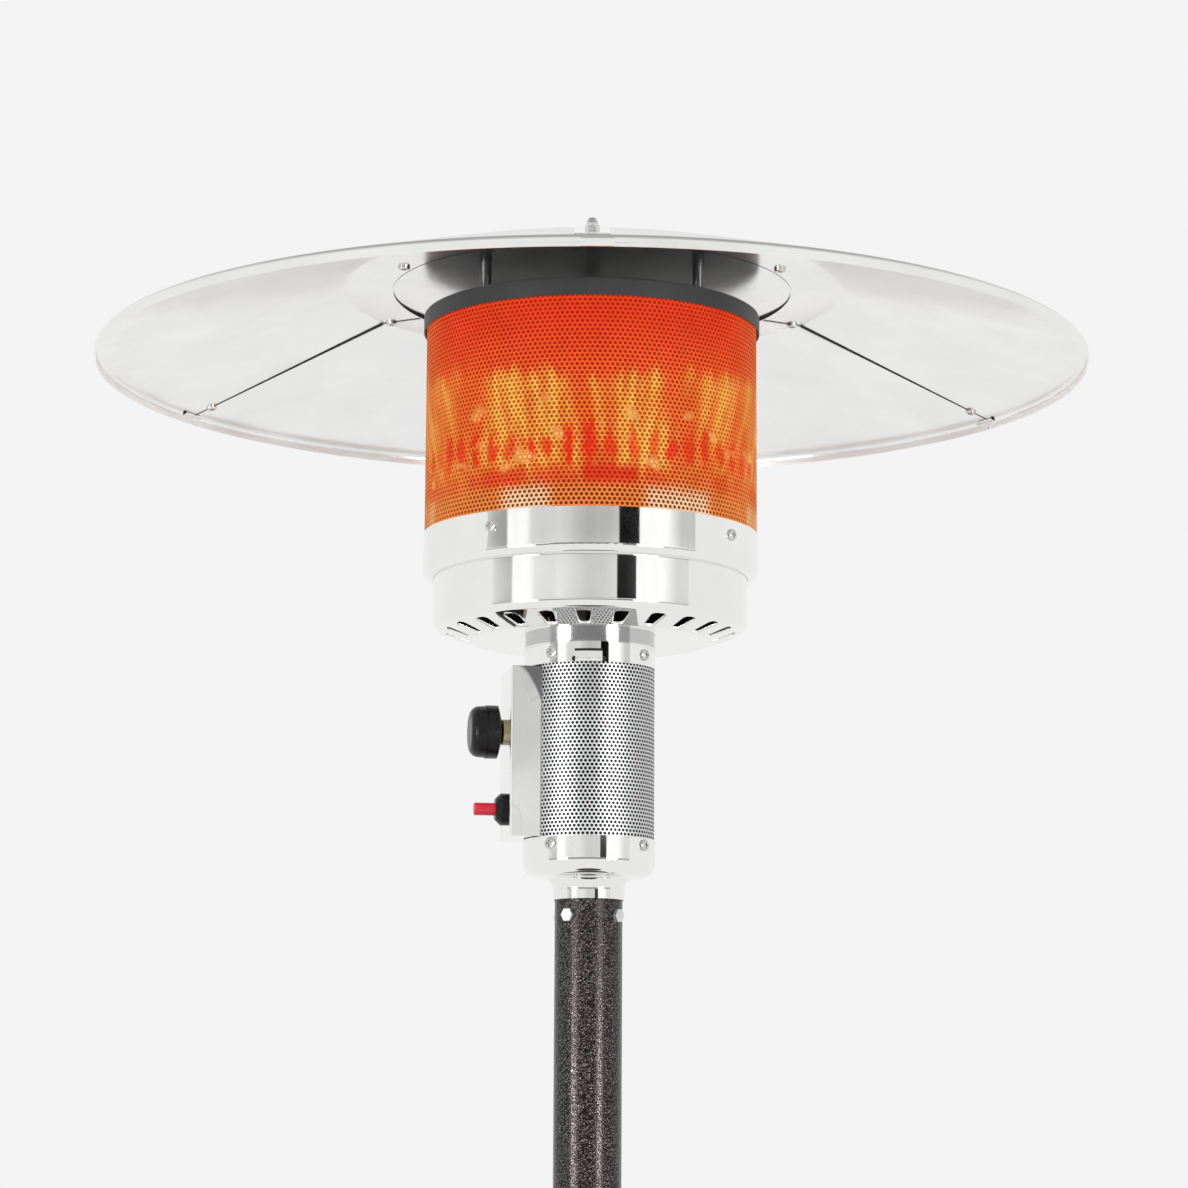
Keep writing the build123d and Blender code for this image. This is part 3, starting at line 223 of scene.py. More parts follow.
def face_away(shape, inside):
    """Turn the skin's faces so that they look away from a point."""
    bmesh.ops.recalc_face_normals(shape, faces=shape.faces)
    inside = Vector(inside)
    outward = sum(face.normal.dot(face.calc_center_median() - inside) * face.calc_area()
                  for face in shape.faces)
    if outward < 0:
        bmesh.ops.reverse_faces(shape, faces=shape.faces)


def outward_at(face):
    """The level direction from the heater's axis to a face."""
    middle = face.calc_center_median()
    return Vector((middle.x, middle.y, 0)).normalized()


def add_wall(shape, thickness):
    """Give the skin its thickness on the side that its faces look away from."""
    bmesh.ops.solidify(shape, geom=shape.faces[:], thickness=thickness)


def sheet_of_revolution(points, bends, wall, inside, start=0.0, sweep=full_turn, steps=round_steps):
    """A sheet turned about the heater's axis, with its inner corners rounded by the bends."""
    shape = spin_profile(held(points, bends) if bends else points, start, sweep, steps)
    for (radius, height), bend in zip(points[1:-1], bends):
        if bend:
            bend_ring(shape, radius, height, bend)
    face_away(shape, inside)
    add_wall(shape, wall)
    return shape


def linked(name, shape, finishes):
    """A bmesh as a named object of the scene, with its finishes."""
    mesh = bpy.data.meshes.new(name)
    shape.to_mesh(mesh)
    shape.free()
    for finish in finishes:
        mesh.materials.append(finish)
    made = bpy.data.objects.new(name, mesh)
    bpy.context.scene.collection.objects.link(made)
    return made


def piece(name, shape, finishes, replaced=()):
    """A piece that rides on the heater's stand and may take the place of CAD nodes."""
    made = linked(name, shape, finishes)
    made.data.shade_smooth()
    made.data.set_sharp_from_angle(angle=smooth_up_to)
    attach(made, "stand")
    if replaced:
        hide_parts(*replaced)


def dress(finish, *names):
    """Give CAD nodes a finish."""
    for name in names:
        mesh = nodes[name].data
        mesh.materials.clear()
        mesh.materials.append(finish)


# Shader helpers
def grey(tone):
    return (tone, tone, tone)


def put(tree, kind, settings=None, **inputs):
    """A shader node with its settings and its inputs, each a value or a socket to link."""
    node = tree.nodes.new("ShaderNode" + kind)
    for name, value in (settings or {}).items():
        setattr(node, name, value)
    for name, value in inputs.items():
        feed(tree, value, node.inputs[name.replace("_", " ")])
    return node


def feed(tree, value, socket):
    """Link a socket, or set a constant; a colour may be given as its red, green and blue."""
    if isinstance(value, bpy.types.NodeSocket):
        tree.links.new(value, socket)
    elif socket.type == "RGBA":
        socket.default_value = (*value, 1.0)
    else:
        socket.default_value = value


def maths(tree, operation, first, second=0.0, third=0.0):
    node = put(tree, "Math", {"operation": operation})
    for value, socket in zip((first, second, third), node.inputs):
        feed(tree, value, socket)
    return node.outputs[0]


def times(tree, first, second):
    return maths(tree, "MULTIPLY", first, second)


def less(tree, first, second):
    return maths(tree, "SUBTRACT", first, second)


def larger(tree, first, second):
    return maths(tree, "MAXIMUM", first, second)


def line_of(tree, value, slope, start):
    """A value times a slope, plus a start."""
    return maths(tree, "MULTIPLY_ADD", value, slope, start)


def between(tree, value, low, high, start=0.0, end=1.0, kind="LINEAR"):
    """A value that runs from start to end while another runs from low to high."""
    return put(tree, "MapRange", {"interpolation_type": kind}, Value=value, From_Min=low, From_Max=high,
               To_Min=start, To_Max=end).outputs["Result"]


def eased(tree, value, low, high, start=0.0, end=1.0):
    """The same with soft ends."""
    return between(tree, value, low, high, start, end, "SMOOTHSTEP")


def blend(tree, mask, first, second, mode="MIX"):
    """The first colour where the mask is 0, the second where it is 1."""
    node = put(tree, "Mix", {"data_type": "RGBA", "blend_type": mode})
    colours = [socket for socket in node.inputs if socket.type == "RGBA"]
    for value, socket in zip((mask, first, second), (node.inputs[0], *colours)):
        feed(tree, value, socket)
    return next(socket for socket in node.outputs if socket.type == "RGBA")


def noise(tree, place, scale, detail=2.0, roughness=0.5):
    return put(tree, "TexNoise", Vector=place, Scale=scale, Detail=detail, Roughness=roughness).outputs[0]


def bump(tree, height, depth):
    return put(tree, "Bump", Height=height, Distance=depth).outputs["Normal"]


def coordinates(tree):
    return tree.nodes.new("ShaderNodeTexCoord").outputs["Object"]


def stretched(tree, place, scale, turn=(0.0, 0.0, 0.0)):
    return put(tree, "Mapping", Vector=place, Scale=scale, Rotation=turn).outputs["Vector"]


def group_of(name, inputs, outputs):
    """An empty node group of number sockets, with the sockets to read and to feed inside it."""
    group = bpy.data.node_groups.new(name, "ShaderNodeTree")
    for label, value in inputs.items():
        socket = group.interface.new_socket(label, in_out="INPUT", socket_type="NodeSocketFloat")
        socket.default_value = value
    for label in outputs:
        group.interface.new_socket(label, in_out="OUTPUT", socket_type="NodeSocketFloat")
    return group, group.nodes.new("NodeGroupInput").outputs, group.nodes.new("NodeGroupOutput").inputs


def placed(tree, group, **inputs):
    """A group in a material, with its own values."""
    node = tree.nodes.new("ShaderNodeGroup")
    node.node_tree = group
    for name, value in inputs.items():
        feed(tree, value, node.inputs[name.replace("_", " ")])
    return node.outputs


def material(name, **sockets):
    """A material whose constants sit on the shader's own sockets."""
    made = bpy.data.materials.new(name)
    made.use_nodes = True
    shader = made.node_tree.nodes["Principled BSDF"]
    for label, value in sockets.items():
        feed(made.node_tree, value, shader.inputs[label.replace("_", " ")])
    return made, made.node_tree, shader.inputs


# Shared surface effects
def make_wear():
    """Broad patches and fine speckle of a handled surface."""
    group, inlet, outlet = group_of("wear", {"Patch Scale": 25.0, "Speckle Scale": 900.0},
                                    ("Patches", "Speckle"))
    place = coordinates(group)
    patches = noise(group, place, inlet["Patch Scale"], detail=4.0, roughness=0.6)
    feed(group, between(group, patches, 0.35, 0.65), outlet["Patches"])
    feed(group, noise(group, place, inlet["Speckle Scale"]), outlet["Speckle"])
    return group


def make_sheet_waves():
    """The slow waves of thin rolled sheet."""
    group, inlet, outlet = group_of("sheet_waves", {"Wave Scale": 9.0}, ("Height",))
    slow = noise(group, coordinates(group), inlet["Wave Scale"], detail=1.5, roughness=0.4)
    feed(group, slow, outlet["Height"])
    return group


def make_hammer_skin():
    """The worm-like pools of hammered paint."""
    group, inlet, outlet = group_of("hammer_skin", {"Scale": 420.0}, ("Pools",))
    place = coordinates(group)
    bent = noise(group, place, times(group, inlet["Scale"], 0.6), detail=1.0)
    shift = line_of(group, bent, 0.0024, -0.0012)
    aside = put(group, "CombineXYZ", X=shift, Y=times(group, shift, -1.0), Z=shift).outputs["Vector"]
    moved = put(group, "VectorMath", {"operation": "ADD"})
    feed(group, place, moved.inputs[0])
    feed(group, aside, moved.inputs[1])
    cells = put(group, "TexVoronoi", {"feature": "SMOOTH_F1"}, Vector=moved.outputs["Vector"],
                Scale=inlet["Scale"], Smoothness=0.35)
    feed(group, eased(group, cells.outputs["Distance"], 0.15, 0.62), outlet["Pools"])
    return group


wear = make_wear()
sheet_waves = make_sheet_waves()
hammer_skin = make_hammer_skin()


# Materials
def finish_metal(tree, shader, marks, colour, gloss, dullest, waves, wave_depth):
    """Base colour, roughness that follows the worn patches, and slow waves in the sheet."""
    feed(tree, colour, shader["Base Color"])
    feed(tree, between(tree, marks["Patches"], 0.0, 1.0, gloss, dullest), shader["Roughness"])
    feed(tree, bump(tree, waves["Height"], wave_depth), shader["Normal"])


def make_polished_steel(name="polished_steel", tone=(0.90, 0.90, 0.89), wave_depth=0.0006, gloss=0.035):
    made, tree, shader = material(name, Metallic=1.0)
    marks = placed(tree, wear, Patch_Scale=14.0)
    waves = placed(tree, sheet_waves, Wave_Scale=7.0)
    colour = blend(tree, marks["Patches"], tone, tuple(value * 0.955 for value in tone))
    finish_metal(tree, shader, marks, colour, gloss, gloss * 1.8, waves, wave_depth)
    return made


def make_painted(name, colour, light, roughness, depth=0.0001, metallic=0.0, shine=0.5):
    """A plain finish between two colours, with fine speckle."""
    made, tree, shader = material(name, Metallic=metallic, Specular_IOR_Level=shine)
    marks = placed(tree, wear, Patch_Scale=30.0, Speckle_Scale=1800.0)
    feed(tree, blend(tree, marks["Patches"], colour, light), shader["Base Color"])
    feed(tree, between(tree, marks["Patches"], 0.0, 1.0, roughness, roughness * 1.25), shader["Roughness"])
    feed(tree, bump(tree, marks["Speckle"], depth), shader["Normal"])
    return made


def make_hammered_paint():
    """Bronze hammered paint: dark pools between glossy ridges."""
    made, tree, shader = material("hammered_paint", Metallic=0.85)
    pools = placed(tree, hammer_skin, Scale=600.0)["Pools"]
    feed(tree, blend(tree, pools, (0.118, 0.104, 0.104), (0.027, 0.021, 0.022)), shader["Base Color"])
    feed(tree, between(tree, pools, 0.0, 1.0, 0.15, 0.22), shader["Roughness"])
    feed(tree, bump(tree, pools, 0.00028), shader["Normal"])
    return made


def neck_shade(tree, place):
    """The curved shade that the neck throws on the box's top rear corner."""
    back = between(tree, place["X"], -box_reach, -box_reach + box_shade_length)
    down = between(tree, place["Z"], box_top, box_top - box_shade_depth)
    curve = times(tree, maths(tree, "POWER", back, 2.2), 1.1)
    return eased(tree, less(tree, curve, down), -0.04, 0.16)


def make_box_steel():
    """Polished box: a painted shade of the neck, and faint dark lines painted in that stand in for lines in
    its reflections.
    """
    made, tree, shader = material("box_steel", Metallic=1.0)
    marks = placed(tree, wear, Patch_Scale=14.0)
    waves = placed(tree, sheet_waves, Wave_Scale=16.0)
    shade = neck_shade(tree, put(tree, "SeparateXYZ", Vector=coordinates(tree)).outputs)
    # Painted reflection: faint dark streaks drawn into the base colour
    drawn = stretched(tree, coordinates(tree), (40.0, 40.0, 6.0), (0.0, 0.25, 0.0))
    lines = noise(tree, drawn, 1.0, detail=1.0)
    thin = times(tree, between(tree, lines, 0.49, 0.50), between(tree, lines, 0.52, 0.50))
    colour = blend(tree, marks["Patches"], (0.92, 0.92, 0.91), (0.87, 0.87, 0.86))
    colour = blend(tree, times(tree, thin, 0.12), colour, grey(0.25))
    colour = blend(tree, times(tree, shade, 0.85), colour, (0.13, 0.13, 0.14))
    finish_metal(tree, shader, marks, colour, 0.05, 0.09, waves, 0.0006)
    return made


# Flames of the emitter
def flame_azimuth(tree, place):
    """Degrees round the heater from the side that faces the camera, and the height in metres."""
    turned = stretched(tree, place, (1.0, 1.0, 1.0), (0.0, 0.0, -camera_azimuth))
    round_share = put(tree, "TexGradient", {"gradient_type": "RADIAL"}, Vector=turned).outputs["Fac"]
    around = line_of(tree, round_share, 360.0, -180.0)
    return around, put(tree, "SeparateXYZ", Vector=place).outputs["Z"]


def soft_spots(tree, across, up, across_scale, up_scale, low, high, detail=2.0):
    """Noise over the flame sheet as it would lie unrolled, cut soft between two levels."""
    place = put(tree, "CombineXYZ", X=times(tree, across, across_scale),
                Y=times(tree, up, up_scale)).outputs["Vector"]
    return eased(tree, noise(tree, place, 1.0, detail, roughness=0.55), low, high)


def spell(tree, around, start, end, soft=3.0):
    """1 between two azimuths, with soft ends."""
    return times(tree, eased(tree, around, start - soft, start + soft),
                 eased(tree, around, end - soft, end + soft, 1.0, 0.0))


def chance_of(tree, tick, seed):
    """A steady chance for each tongue."""
    shifted = maths(tree, "ADD", tick, seed)
    return put(tree, "TexWhiteNoise", {"noise_dimensions": "1D"}, W=shifted).outputs["Value"]


def tongue_mask(tree, around, rise, pitch):
    """A row of red tongues, one at each pitch, of chance heights, with two tall ones in front."""
    ticks = maths(tree, "DIVIDE", around, pitch)
    tick = maths(tree, "ROUND", ticks)
    middle = line_of(tree, chance_of(tree, tick, 40.0), 0.24, -0.12)
    aside = maths(tree, "ABSOLUTE", less(tree, less(tree, ticks, tick), middle))
    is_front = maths(tree, "COMPARE", tick, -0.5, 0.6)
    foot = line_of(tree, is_front, -0.03, 0.215)
    top = line_of(tree, is_front, 0.05, line_of(tree, chance_of(tree, tick, 0.0), 0.08, 0.35))
    climb = between(tree, rise, foot, top)
    taper = less(tree, 1.0, maths(tree, "POWER", climb, 2.2))
    girth = times(tree, maths(tree, "SQRT", climb), times(tree, taper, 0.66))
    shown = larger(tree, line_of(tree, chance_of(tree, tick, 80.0), 0.55, 0.45), is_front)
    return times(tree, shown, eased(tree, less(tree, girth, aside), -0.10, 0.28))


def flame_reach(tree, around, spread, rise):
    """1 where flames stand: over the foot, under their ragged crest, weaker towards the sides."""
    from_front = maths(tree, "ABSOLUTE", around)
    ragged = soft_spots(tree, spread, 2.0, 0.16, 1.0, 0.25, 0.75)
    crest = line_of(tree, ragged, 0.11, line_of(tree, from_front, 0.0013, 0.565))
    under_crest = eased(tree, less(tree, crest, rise), -0.05, 0.06)
    above_foot = eased(tree, rise, 0.10, 0.24)
    return times(tree, times(tree, under_crest, above_foot), eased(tree, from_front, 36, 58, 1.0, 0.62))


def broad_flames(tree, spread, rise):
    """Broad bodies of flame, with two sure ones that show in front."""
    broad = soft_spots(tree, spread, rise, 0.06, 1.2, 0.36, 0.60, 1.0)
    return larger(tree, broad, larger(tree, spell(tree, spread, -39, -24), spell(tree, spread, 9, 25)))


def flame_streaks(tree, spread, rise, broad, fine, reach):
    """Bright upright streaks in the bodies of flame."""
    streaks = soft_spots(tree, spread, rise, 0.24, 2.4, 0.36, 0.66, 3.0)
    thick = times(tree, line_of(tree, streaks, 0.75, 0.25), broad)
    thick = times(tree, thick, line_of(tree, fine, 0.45, 0.6))
    return between(tree, times(tree, thick, reach), 0.08, 0.75)


def bright_dots(tree, around, rise):
    """Pale spots low in the flames."""
    low_flames = times(tree, eased(tree, rise, 0.13, 0.20), eased(tree, rise, 0.40, 0.62, 1.0, 0.0))
    return times(tree, soft_spots(tree, around, rise, 0.10, 7.0, 0.60, 0.72, 1.0), low_flames)


def red_band(tree, around, rise, lifted):
    """The broken red band under the tongues."""
    broken = times(tree, soft_spots(tree, around, rise, 0.07, 2.0, 0.44, 0.56), 0.55)
    broken = larger(tree, broken, spell(tree, around, -3, 16, 1.5))
    broken = larger(tree, broken, times(tree, spell(tree, around, -40, -22), 0.8))
    low_edge = eased(tree, lifted, 0.09, 0.14)
    high_edge = eased(tree, lifted, 0.17, 0.235, 1.0, 0.0)
    return times(tree, times(tree, low_edge, high_edge), broken)


def pale_foot(tree, around, lifted):
    """Pale heat just over the collar."""
    at_sides = eased(tree, maths(tree, "ABSOLUTE", around), 50, 70)
    warm = times(tree, soft_spots(tree, around, 8.0, 0.045, 1.0, 0.47, 0.62, 1.0), at_sides)
    warm = larger(tree, warm, spell(tree, around, -31, -14))
    warm = larger(tree, warm, spell(tree, around, 19, 43))
    return times(tree, eased(tree, lifted, 0.05, 0.14, 1.0, 0.0), warm)


def make_flame_field():
    """Where flames, bright dots, red tongues, the red band and pale heat show on the emitter."""
    group, inlet, outlet = group_of("flame_field", {"Tongue Pitch": 7.06},
                                    ("Heat", "Flames", "Dots", "Tongues", "Band", "Pale"))
    around, height = flame_azimuth(group, coordinates(group))
    rise = between(group, height, emitter_low, emitter_high)
    spread = maths(group, "DIVIDE", around, between(group, rise, 0.15, 0.65, 0.80, 1.0))
    fine = soft_spots(group, spread, rise, 0.8, 8.0, 0.25, 0.75, 3.0)
    lifted = line_of(group, fine, 0.03, maths(group, "ADD", rise, -0.015))
    sway = soft_spots(group, around, rise, 0.35, 14.0, 0.3, 0.7)
    swayed = line_of(group, sway, 2.4, maths(group, "ADD", around, -1.2))
    broad = broad_flames(group, spread, rise)
    reach = flame_reach(group, around, spread, rise)
    feed(group, times(group, reach, line_of(group, broad, 0.6, 0.4)), outlet["Heat"])
    feed(group, flame_streaks(group, spread, rise, broad, fine, reach), outlet["Flames"])
    feed(group, bright_dots(group, around, rise), outlet["Dots"])
    feed(group, tongue_mask(group, swayed, lifted, inlet["Tongue Pitch"]), outlet["Tongues"])
    feed(group, red_band(group, around, rise, lifted), outlet["Band"])
    feed(group, pale_foot(group, around, lifted), outlet["Pale"])
    return group


def make_glow(name, top, middle, foot, edge, **masked):
    """Glowing metal of the emitter: heat by height, then the colour of each mask of the flame field,
    and a golden edge where the metal is seen at a slant."""
    made, tree, shader = material(name, Emission_Strength=1.0, Base_Color=(0.02, 0.012, 0.008),
                                  Specular_IOR_Level=0.1)
    height = put(tree, "SeparateXYZ", Vector=coordinates(tree)).outputs["Z"]
    rise = between(tree, height, emitter_low, emitter_high)
    field = placed(tree, flame_field)
    patches = placed(tree, wear, Patch_Scale=40.0)["Patches"]
    colour = blend(tree, eased(tree, rise, 0.95, 0.62), top, middle)
    colour = blend(tree, eased(tree, rise, 0.30, 0.05), colour, foot)
    for mask in ("Heat", "Flames", "Pale", "Band", "Tongues", "Dots"):
        colour = blend(tree, field[mask], colour, masked[mask.lower()])
    uneven = blend(tree, patches, grey(1.0), (0.90, 0.84, 0.80))
    colour = blend(tree, 1.0, colour, uneven, "MULTIPLY")
    slant = put(tree, "LayerWeight", Blend=0.5).outputs["Facing"]
    colour = blend(tree, eased(tree, slant, 0.45, 0.95, 0.0, 0.62), colour, edge)
    feed(tree, colour, shader["Emission Color"])
    feed(tree, between(tree, patches, 0.0, 1.0, 0.5, 0.65), shader["Roughness"])
    return made


emitter_low = high_of("collar_band")
emitter_high = low_of("emitter_cap")
flame_field = make_flame_field()
screen_web = make_glow("screen_web", top=(0.84, 0.055, 0.008), middle=(0.93, 0.115, 0.020),
                       foot=(0.90, 0.25, 0.050), edge=(0.52, 0.20, 0.035), heat=(0.93, 0.21, 0.028),
                       flames=(0.97, 0.56, 0.10), dots=(0.80, 0.24, 0.035), tongues=(0.85, 0.030, 0.003),
                       band=(0.82, 0.048, 0.006), pale=(1.0, 0.68, 0.42))
screen_lip = make_glow("screen_lip", top=(0.50, 0.028, 0.002), middle=(0.54, 0.065, 0.006),
                       foot=(0.50, 0.15, 0.020), edge=(0.40, 0.12, 0.015), heat=(0.62, 0.17, 0.02),
                       flames=(0.80, 0.40, 0.06), dots=(0.95, 0.50, 0.12), tongues=(0.62, 0.016, 0.001),
                       band=(0.58, 0.022, 0.002), pale=(0.66, 0.32, 0.12))
flame_sheet = make_glow("flame_sheet", top=(0.50, 0.009, 0.0), middle=(0.44, 0.014, 0.0),
                        foot=(0.20, 0.032, 0.001), edge=(0.24, 0.030, 0.001), heat=(0.36, 0.042, 0.001),
                        flames=(0.52, 0.12, 0.004), dots=(0.98, 0.60, 0.20), tongues=(0.70, 0.014, 0.0),
                        band=(0.50, 0.012, 0.0), pale=(0.18, 0.045, 0.005))

polished_steel = make_polished_steel()
petal_steel = make_polished_steel("petal_steel", (0.90, 0.90, 0.89), 0.0004, 0.13)
perforated_steel = make_polished_steel("perforated_steel", grey(0.74), 0.0001, 0.30)
hem_steel = make_polished_steel("hem_steel", (0.97, 0.98, 0.98), 0.0003, 0.45)
slot_lip_steel = make_painted("slot_lip_steel", (0.93, 0.93, 0.92), (0.86, 0.86, 0.85), 0.18, 0.00003, 1.0)
burner_steel = make_painted("burner_steel", (0.30, 0.28, 0.26), (0.20, 0.17, 0.15), 0.4, 0.0001, 1.0)
burner_inside = make_painted("burner_inside", (0.030, 0.028, 0.026), (0.020, 0.018, 0.017), 0.6)
# Painted shade: a near-black finish for the control screen's inside and the sheet within it
screen_inside_shade = make_painted("screen_inside_shade", grey(0.012), grey(0.02), 0.6, shine=0.2)
# Painted shadow: a near-black finish for the reflector's seam and mouth lips, the rim joins' ends, and the
# neck clip's slot and notches
seam_shadow = make_painted("seam_shadow", grey(0.016), grey(0.03), 0.6, shine=0.2)
# Painted shade: dark grey for the control screen's hole walls
hole_wall_shade = make_painted("hole_wall_shade", grey(0.10), grey(0.07), 0.5, 0.00005, 1.0)

dress(make_hammered_paint(), "base_pan", "housing_shell", "housing_lid", "post")
dress(polished_steel, "post_cup", "neck_ring", "control_screen", "burner_bowl", "collar_band",
      "reflector_petal_1", "reflector_petal_2", "reflector_petal_3", "emitter_screen")
dress(make_polished_steel("plate_steel", (0.89, 0.89, 0.88), 0.0003, 0.13), "reflector_centre")
dress(make_polished_steel("flange_steel", grey(0.60), 0.0003, 0.12), "neck_flange")
dress(make_box_steel(), "control_box")
# The struts' dark grey is a painted dark reflection: it stands in for the dark cap and plate that the
# polished struts reflect
dress(make_painted("strut_steel", (0.13, 0.13, 0.135), grey(0.10), 0.28, 0.00005, 1.0), "reflector_struts")
dress(make_painted("screw_steel", (0.72, 0.72, 0.71), (0.60, 0.60, 0.59), 0.12, 0.00005, 1.0),
      "cup_screws", "neck_screws", "collar_screws", "housing_screws", "reflector_screws", "strut_nuts")
dress(make_painted("zinc_steel", (0.66, 0.67, 0.67), (0.80, 0.80, 0.79), 0.32, 0.00008, 1.0),
      "support_leg_1", "support_leg_2", "support_leg_3", "leg_bolts", "post_bolts", "wheel_bracket",
      "wheel_bracket_bolts", "wheel_axle", "socket_tube", "valve_spindle", "igniter_spring")
dress(make_painted("brass", (0.42, 0.36, 0.20), (0.55, 0.48, 0.28), 0.35, 0.0001, 1.0),
      "valve_body", "valve_nut", "valve_plug", "inlet_fitting", "injector")
dress(make_painted("aluminium_tube", grey(0.72), grey(0.6), 0.3, 0.0001, 1.0),
      "gas_pipe", "main_gas_tube", "pilot_tube")
dress(make_painted("copper_lead", (0.7, 0.32, 0.18), (0.5, 0.22, 0.13), 0.3, 0.0001, 1.0), "thermocouple")
dress(burner_steel, "burner_head", "pilot_burner")
dress(make_painted("cap_paint", (0.026, 0.027, 0.029), (0.036, 0.036, 0.038), 0.42), "emitter_cap")
dress(make_painted("black_plastic", grey(0.004), grey(0.007), 0.24, shine=0.22), "post_plug",
      "housing_bushing", "igniter_body", "igniter_nut", "tilt_switch", "knob_skirt", "knob_cap")
dress(make_painted("red_plastic", (0.62, 0.012, 0.03), (0.70, 0.02, 0.04), 0.35), "igniter_button")
dress(make_painted("lead_sheath", (0.75, 0.74, 0.70), (0.6, 0.58, 0.55), 0.5), "ignition_lead")
dress(make_painted("ceramic", (0.82, 0.80, 0.75), (0.72, 0.69, 0.63), 0.35), "electrode")
dress(make_painted("wheel_rubber", grey(0.02), (0.035, 0.034, 0.033), 0.65), "wheel_left", "wheel_right")
dress(make_painted("foot_rubber", grey(0.02), (0.035, 0.034, 0.033), 0.7), "base_feet")


# Perforated screens
def perforated_sleeve(radius, low, high, columns, hole_radius, start, count):
    """A sleeve of hexagon cells with a hole in each: one column of cells, turned about the axis.

    The second finish is in the holes and the third on the inside."""
    step = full_turn / columns
    pitch = radius * step
    rise = pitch * sqrt(3) / 2
    shape = bmesh.new()
    for row in range(int((high - low) / rise)):
        place = (Matrix.Rotation(start + (row % 2) * step / 2, 4, "Z")
                 @ Matrix.Translation((radius, 0, low + (row + 0.5) * rise))
                 @ Matrix.Rotation(pi / 2, 4, "Y") @ Matrix.Rotation(pi / 6, 4, "Z"))
        bmesh.ops.create_circle(shape, cap_ends=True, radius=pitch / sqrt(3), segments=6, matrix=place)
    bmesh.ops.spin(shape, geom=shape.verts[:] + shape.edges[:] + shape.faces[:], cent=(0, 0, 0),
                   axis=(0, 0, 1), angle=step * (count - 1), steps=count - 1, use_duplicate=True)
    bmesh.ops.remove_doubles(shape, verts=shape.verts, dist=weld_share * pitch)
    cells = shape.faces[:]
    bmesh.ops.inset_individual(shape, faces=cells, thickness=pitch / 2 - hole_radius, use_even_offset=True)
    bmesh.ops.delete(shape, geom=cells, context="FACES_ONLY")
    face_away(shape, (0, 0, (low + high) / 2))
    add_wall(shape, head_sheet)
    for face in shape.faces:
        facing = face.normal.dot(outward_at(face))
        if abs(facing) < side_on:
            face.material_index = 1
        elif facing < 0:
            face.material_index = 2
    return shape


def make_emitter():
    """The glowing screen in three sectors, its plain foot, and the flame sheet behind it."""
    radius = radius_of("emitter_screen")
    for number in range(emitter_sectors):
        shape = perforated_sleeve(radius, emitter_low - emitter_overlap, emitter_high + emitter_overlap,
                                  emitter_columns, emitter_hole_radius, number * full_turn / emitter_sectors,
                                  emitter_columns // emitter_sectors)
        piece(f"emitter_screen_sector_{number + 1}", shape, [screen_web, screen_lip, flame_sheet],
              replaced=() if number else ("emitter_screen",))
    behind = radius - flame_sheet_gap
    outline = [(behind, emitter_low - emitter_overlap), (behind, emitter_high + flame_sheet_rise)]
    shape = sheet_of_revolution(outline, (), flame_sheet_wall, (0, 0, emitter_low))
    for face in shape.faces:
        face.material_index = 1 if face.normal.dot(outward_at(face)) < 0 else 0
    piece("emitter_flame_sheet", shape, [flame_sheet, burner_inside])
    outline = [(radius, low_of("emitter_screen")), (radius, emitter_low - emitter_foot_drop)]
    shape = sheet_of_revolution(outline, (), head_sheet, (0, 0, emitter_low))
    piece("emitter_screen_foot", shape, [burner_steel])


def make_control_screen():
    """The perforated sleeve round the gas valve, open behind the control box, with painted shade: dark grey
    hole walls, a near-black inside and a near-black sheet within it.
    """
    radius = radius_of("control_screen")
    low, high = low_of("control_screen"), high_of("control_screen")
    step = full_turn / screen_columns
    count = int((full_turn - 2 * window_half_angle) / step)
    start = pi + (full_turn - (count - 1) * step) / 2
    shape = perforated_sleeve(radius, low + screen_end_trim, high - screen_end_trim, screen_columns,
                              screen_hole_radius, start, count)
    piece("control_screen_sleeve", shape, [perforated_steel, hole_wall_shade, screen_inside_shade],
          replaced=("control_screen",))
    behind = radius - screen_shade_sheet_gap
    shape = sheet_of_revolution([(behind, low), (behind, high)], (), screen_shade_sheet_wall, (0, 0, low), start,
                                full_turn - 2 * window_half_angle - step, screen_shade_sheet_steps)
    piece("control_screen_shade_sheet", shape, [screen_inside_shade])


# Reflector
def petal_outline():
    """The underside of a petal from its inner edge to its rim, as radius and height."""
    rim_bottom = low_of("reflector_petal_1")
    floor = rim_bottom + reflector_drop
    rim_top = rim_bottom + reflector_lip
    return [(mouth_radius, floor), (ring_radius, floor), (rim_radius, rim_top), (rim_radius, rim_bottom)]


def cut_beside(shape, azimuth, side, near, far):
    """Trim the shape along a line near a radius, at one distance from it inside and another outside."""
    along = Vector((cos(azimuth), sin(azimuth), 0))
    across = Vector((-sin(azimuth), cos(azimuth), 0)) * side
    first = along * mouth_radius + across * near
    last = along * rim_radius + across * far
    line = (last - first).normalized()
    outward = Vector((line.y, -line.x, 0)) * side
    bmesh.ops.bisect_plane(shape, geom=shape.verts[:] + shape.edges[:] + shape.faces[:], plane_co=first,
                           plane_no=outward, clear_outer=True)


def turn_down_edges(shape, edges, drop):
    """A small lip on open edges, as deep as the drop says at each radius."""
    made = bmesh.ops.extrude_edge_only(shape, edges=edges)["geom"]
    for vertex in {item for item in made if isinstance(item, bmesh.types.BMVert)}:
        vertex.co.z -= drop(vertex.co)


def seam_drop(place):
    """The seam's lip stands out most just outside the ring's bend and fades towards the rim."""
    radius = hypot(*place.xy)
    if radius < ring_radius:
        return seam_lip_shallow
    share = (radius - ring_radius) / (rim_radius - ring_radius)
    return seam_lip_deep + (seam_lip_shallow - seam_lip_deep) * share


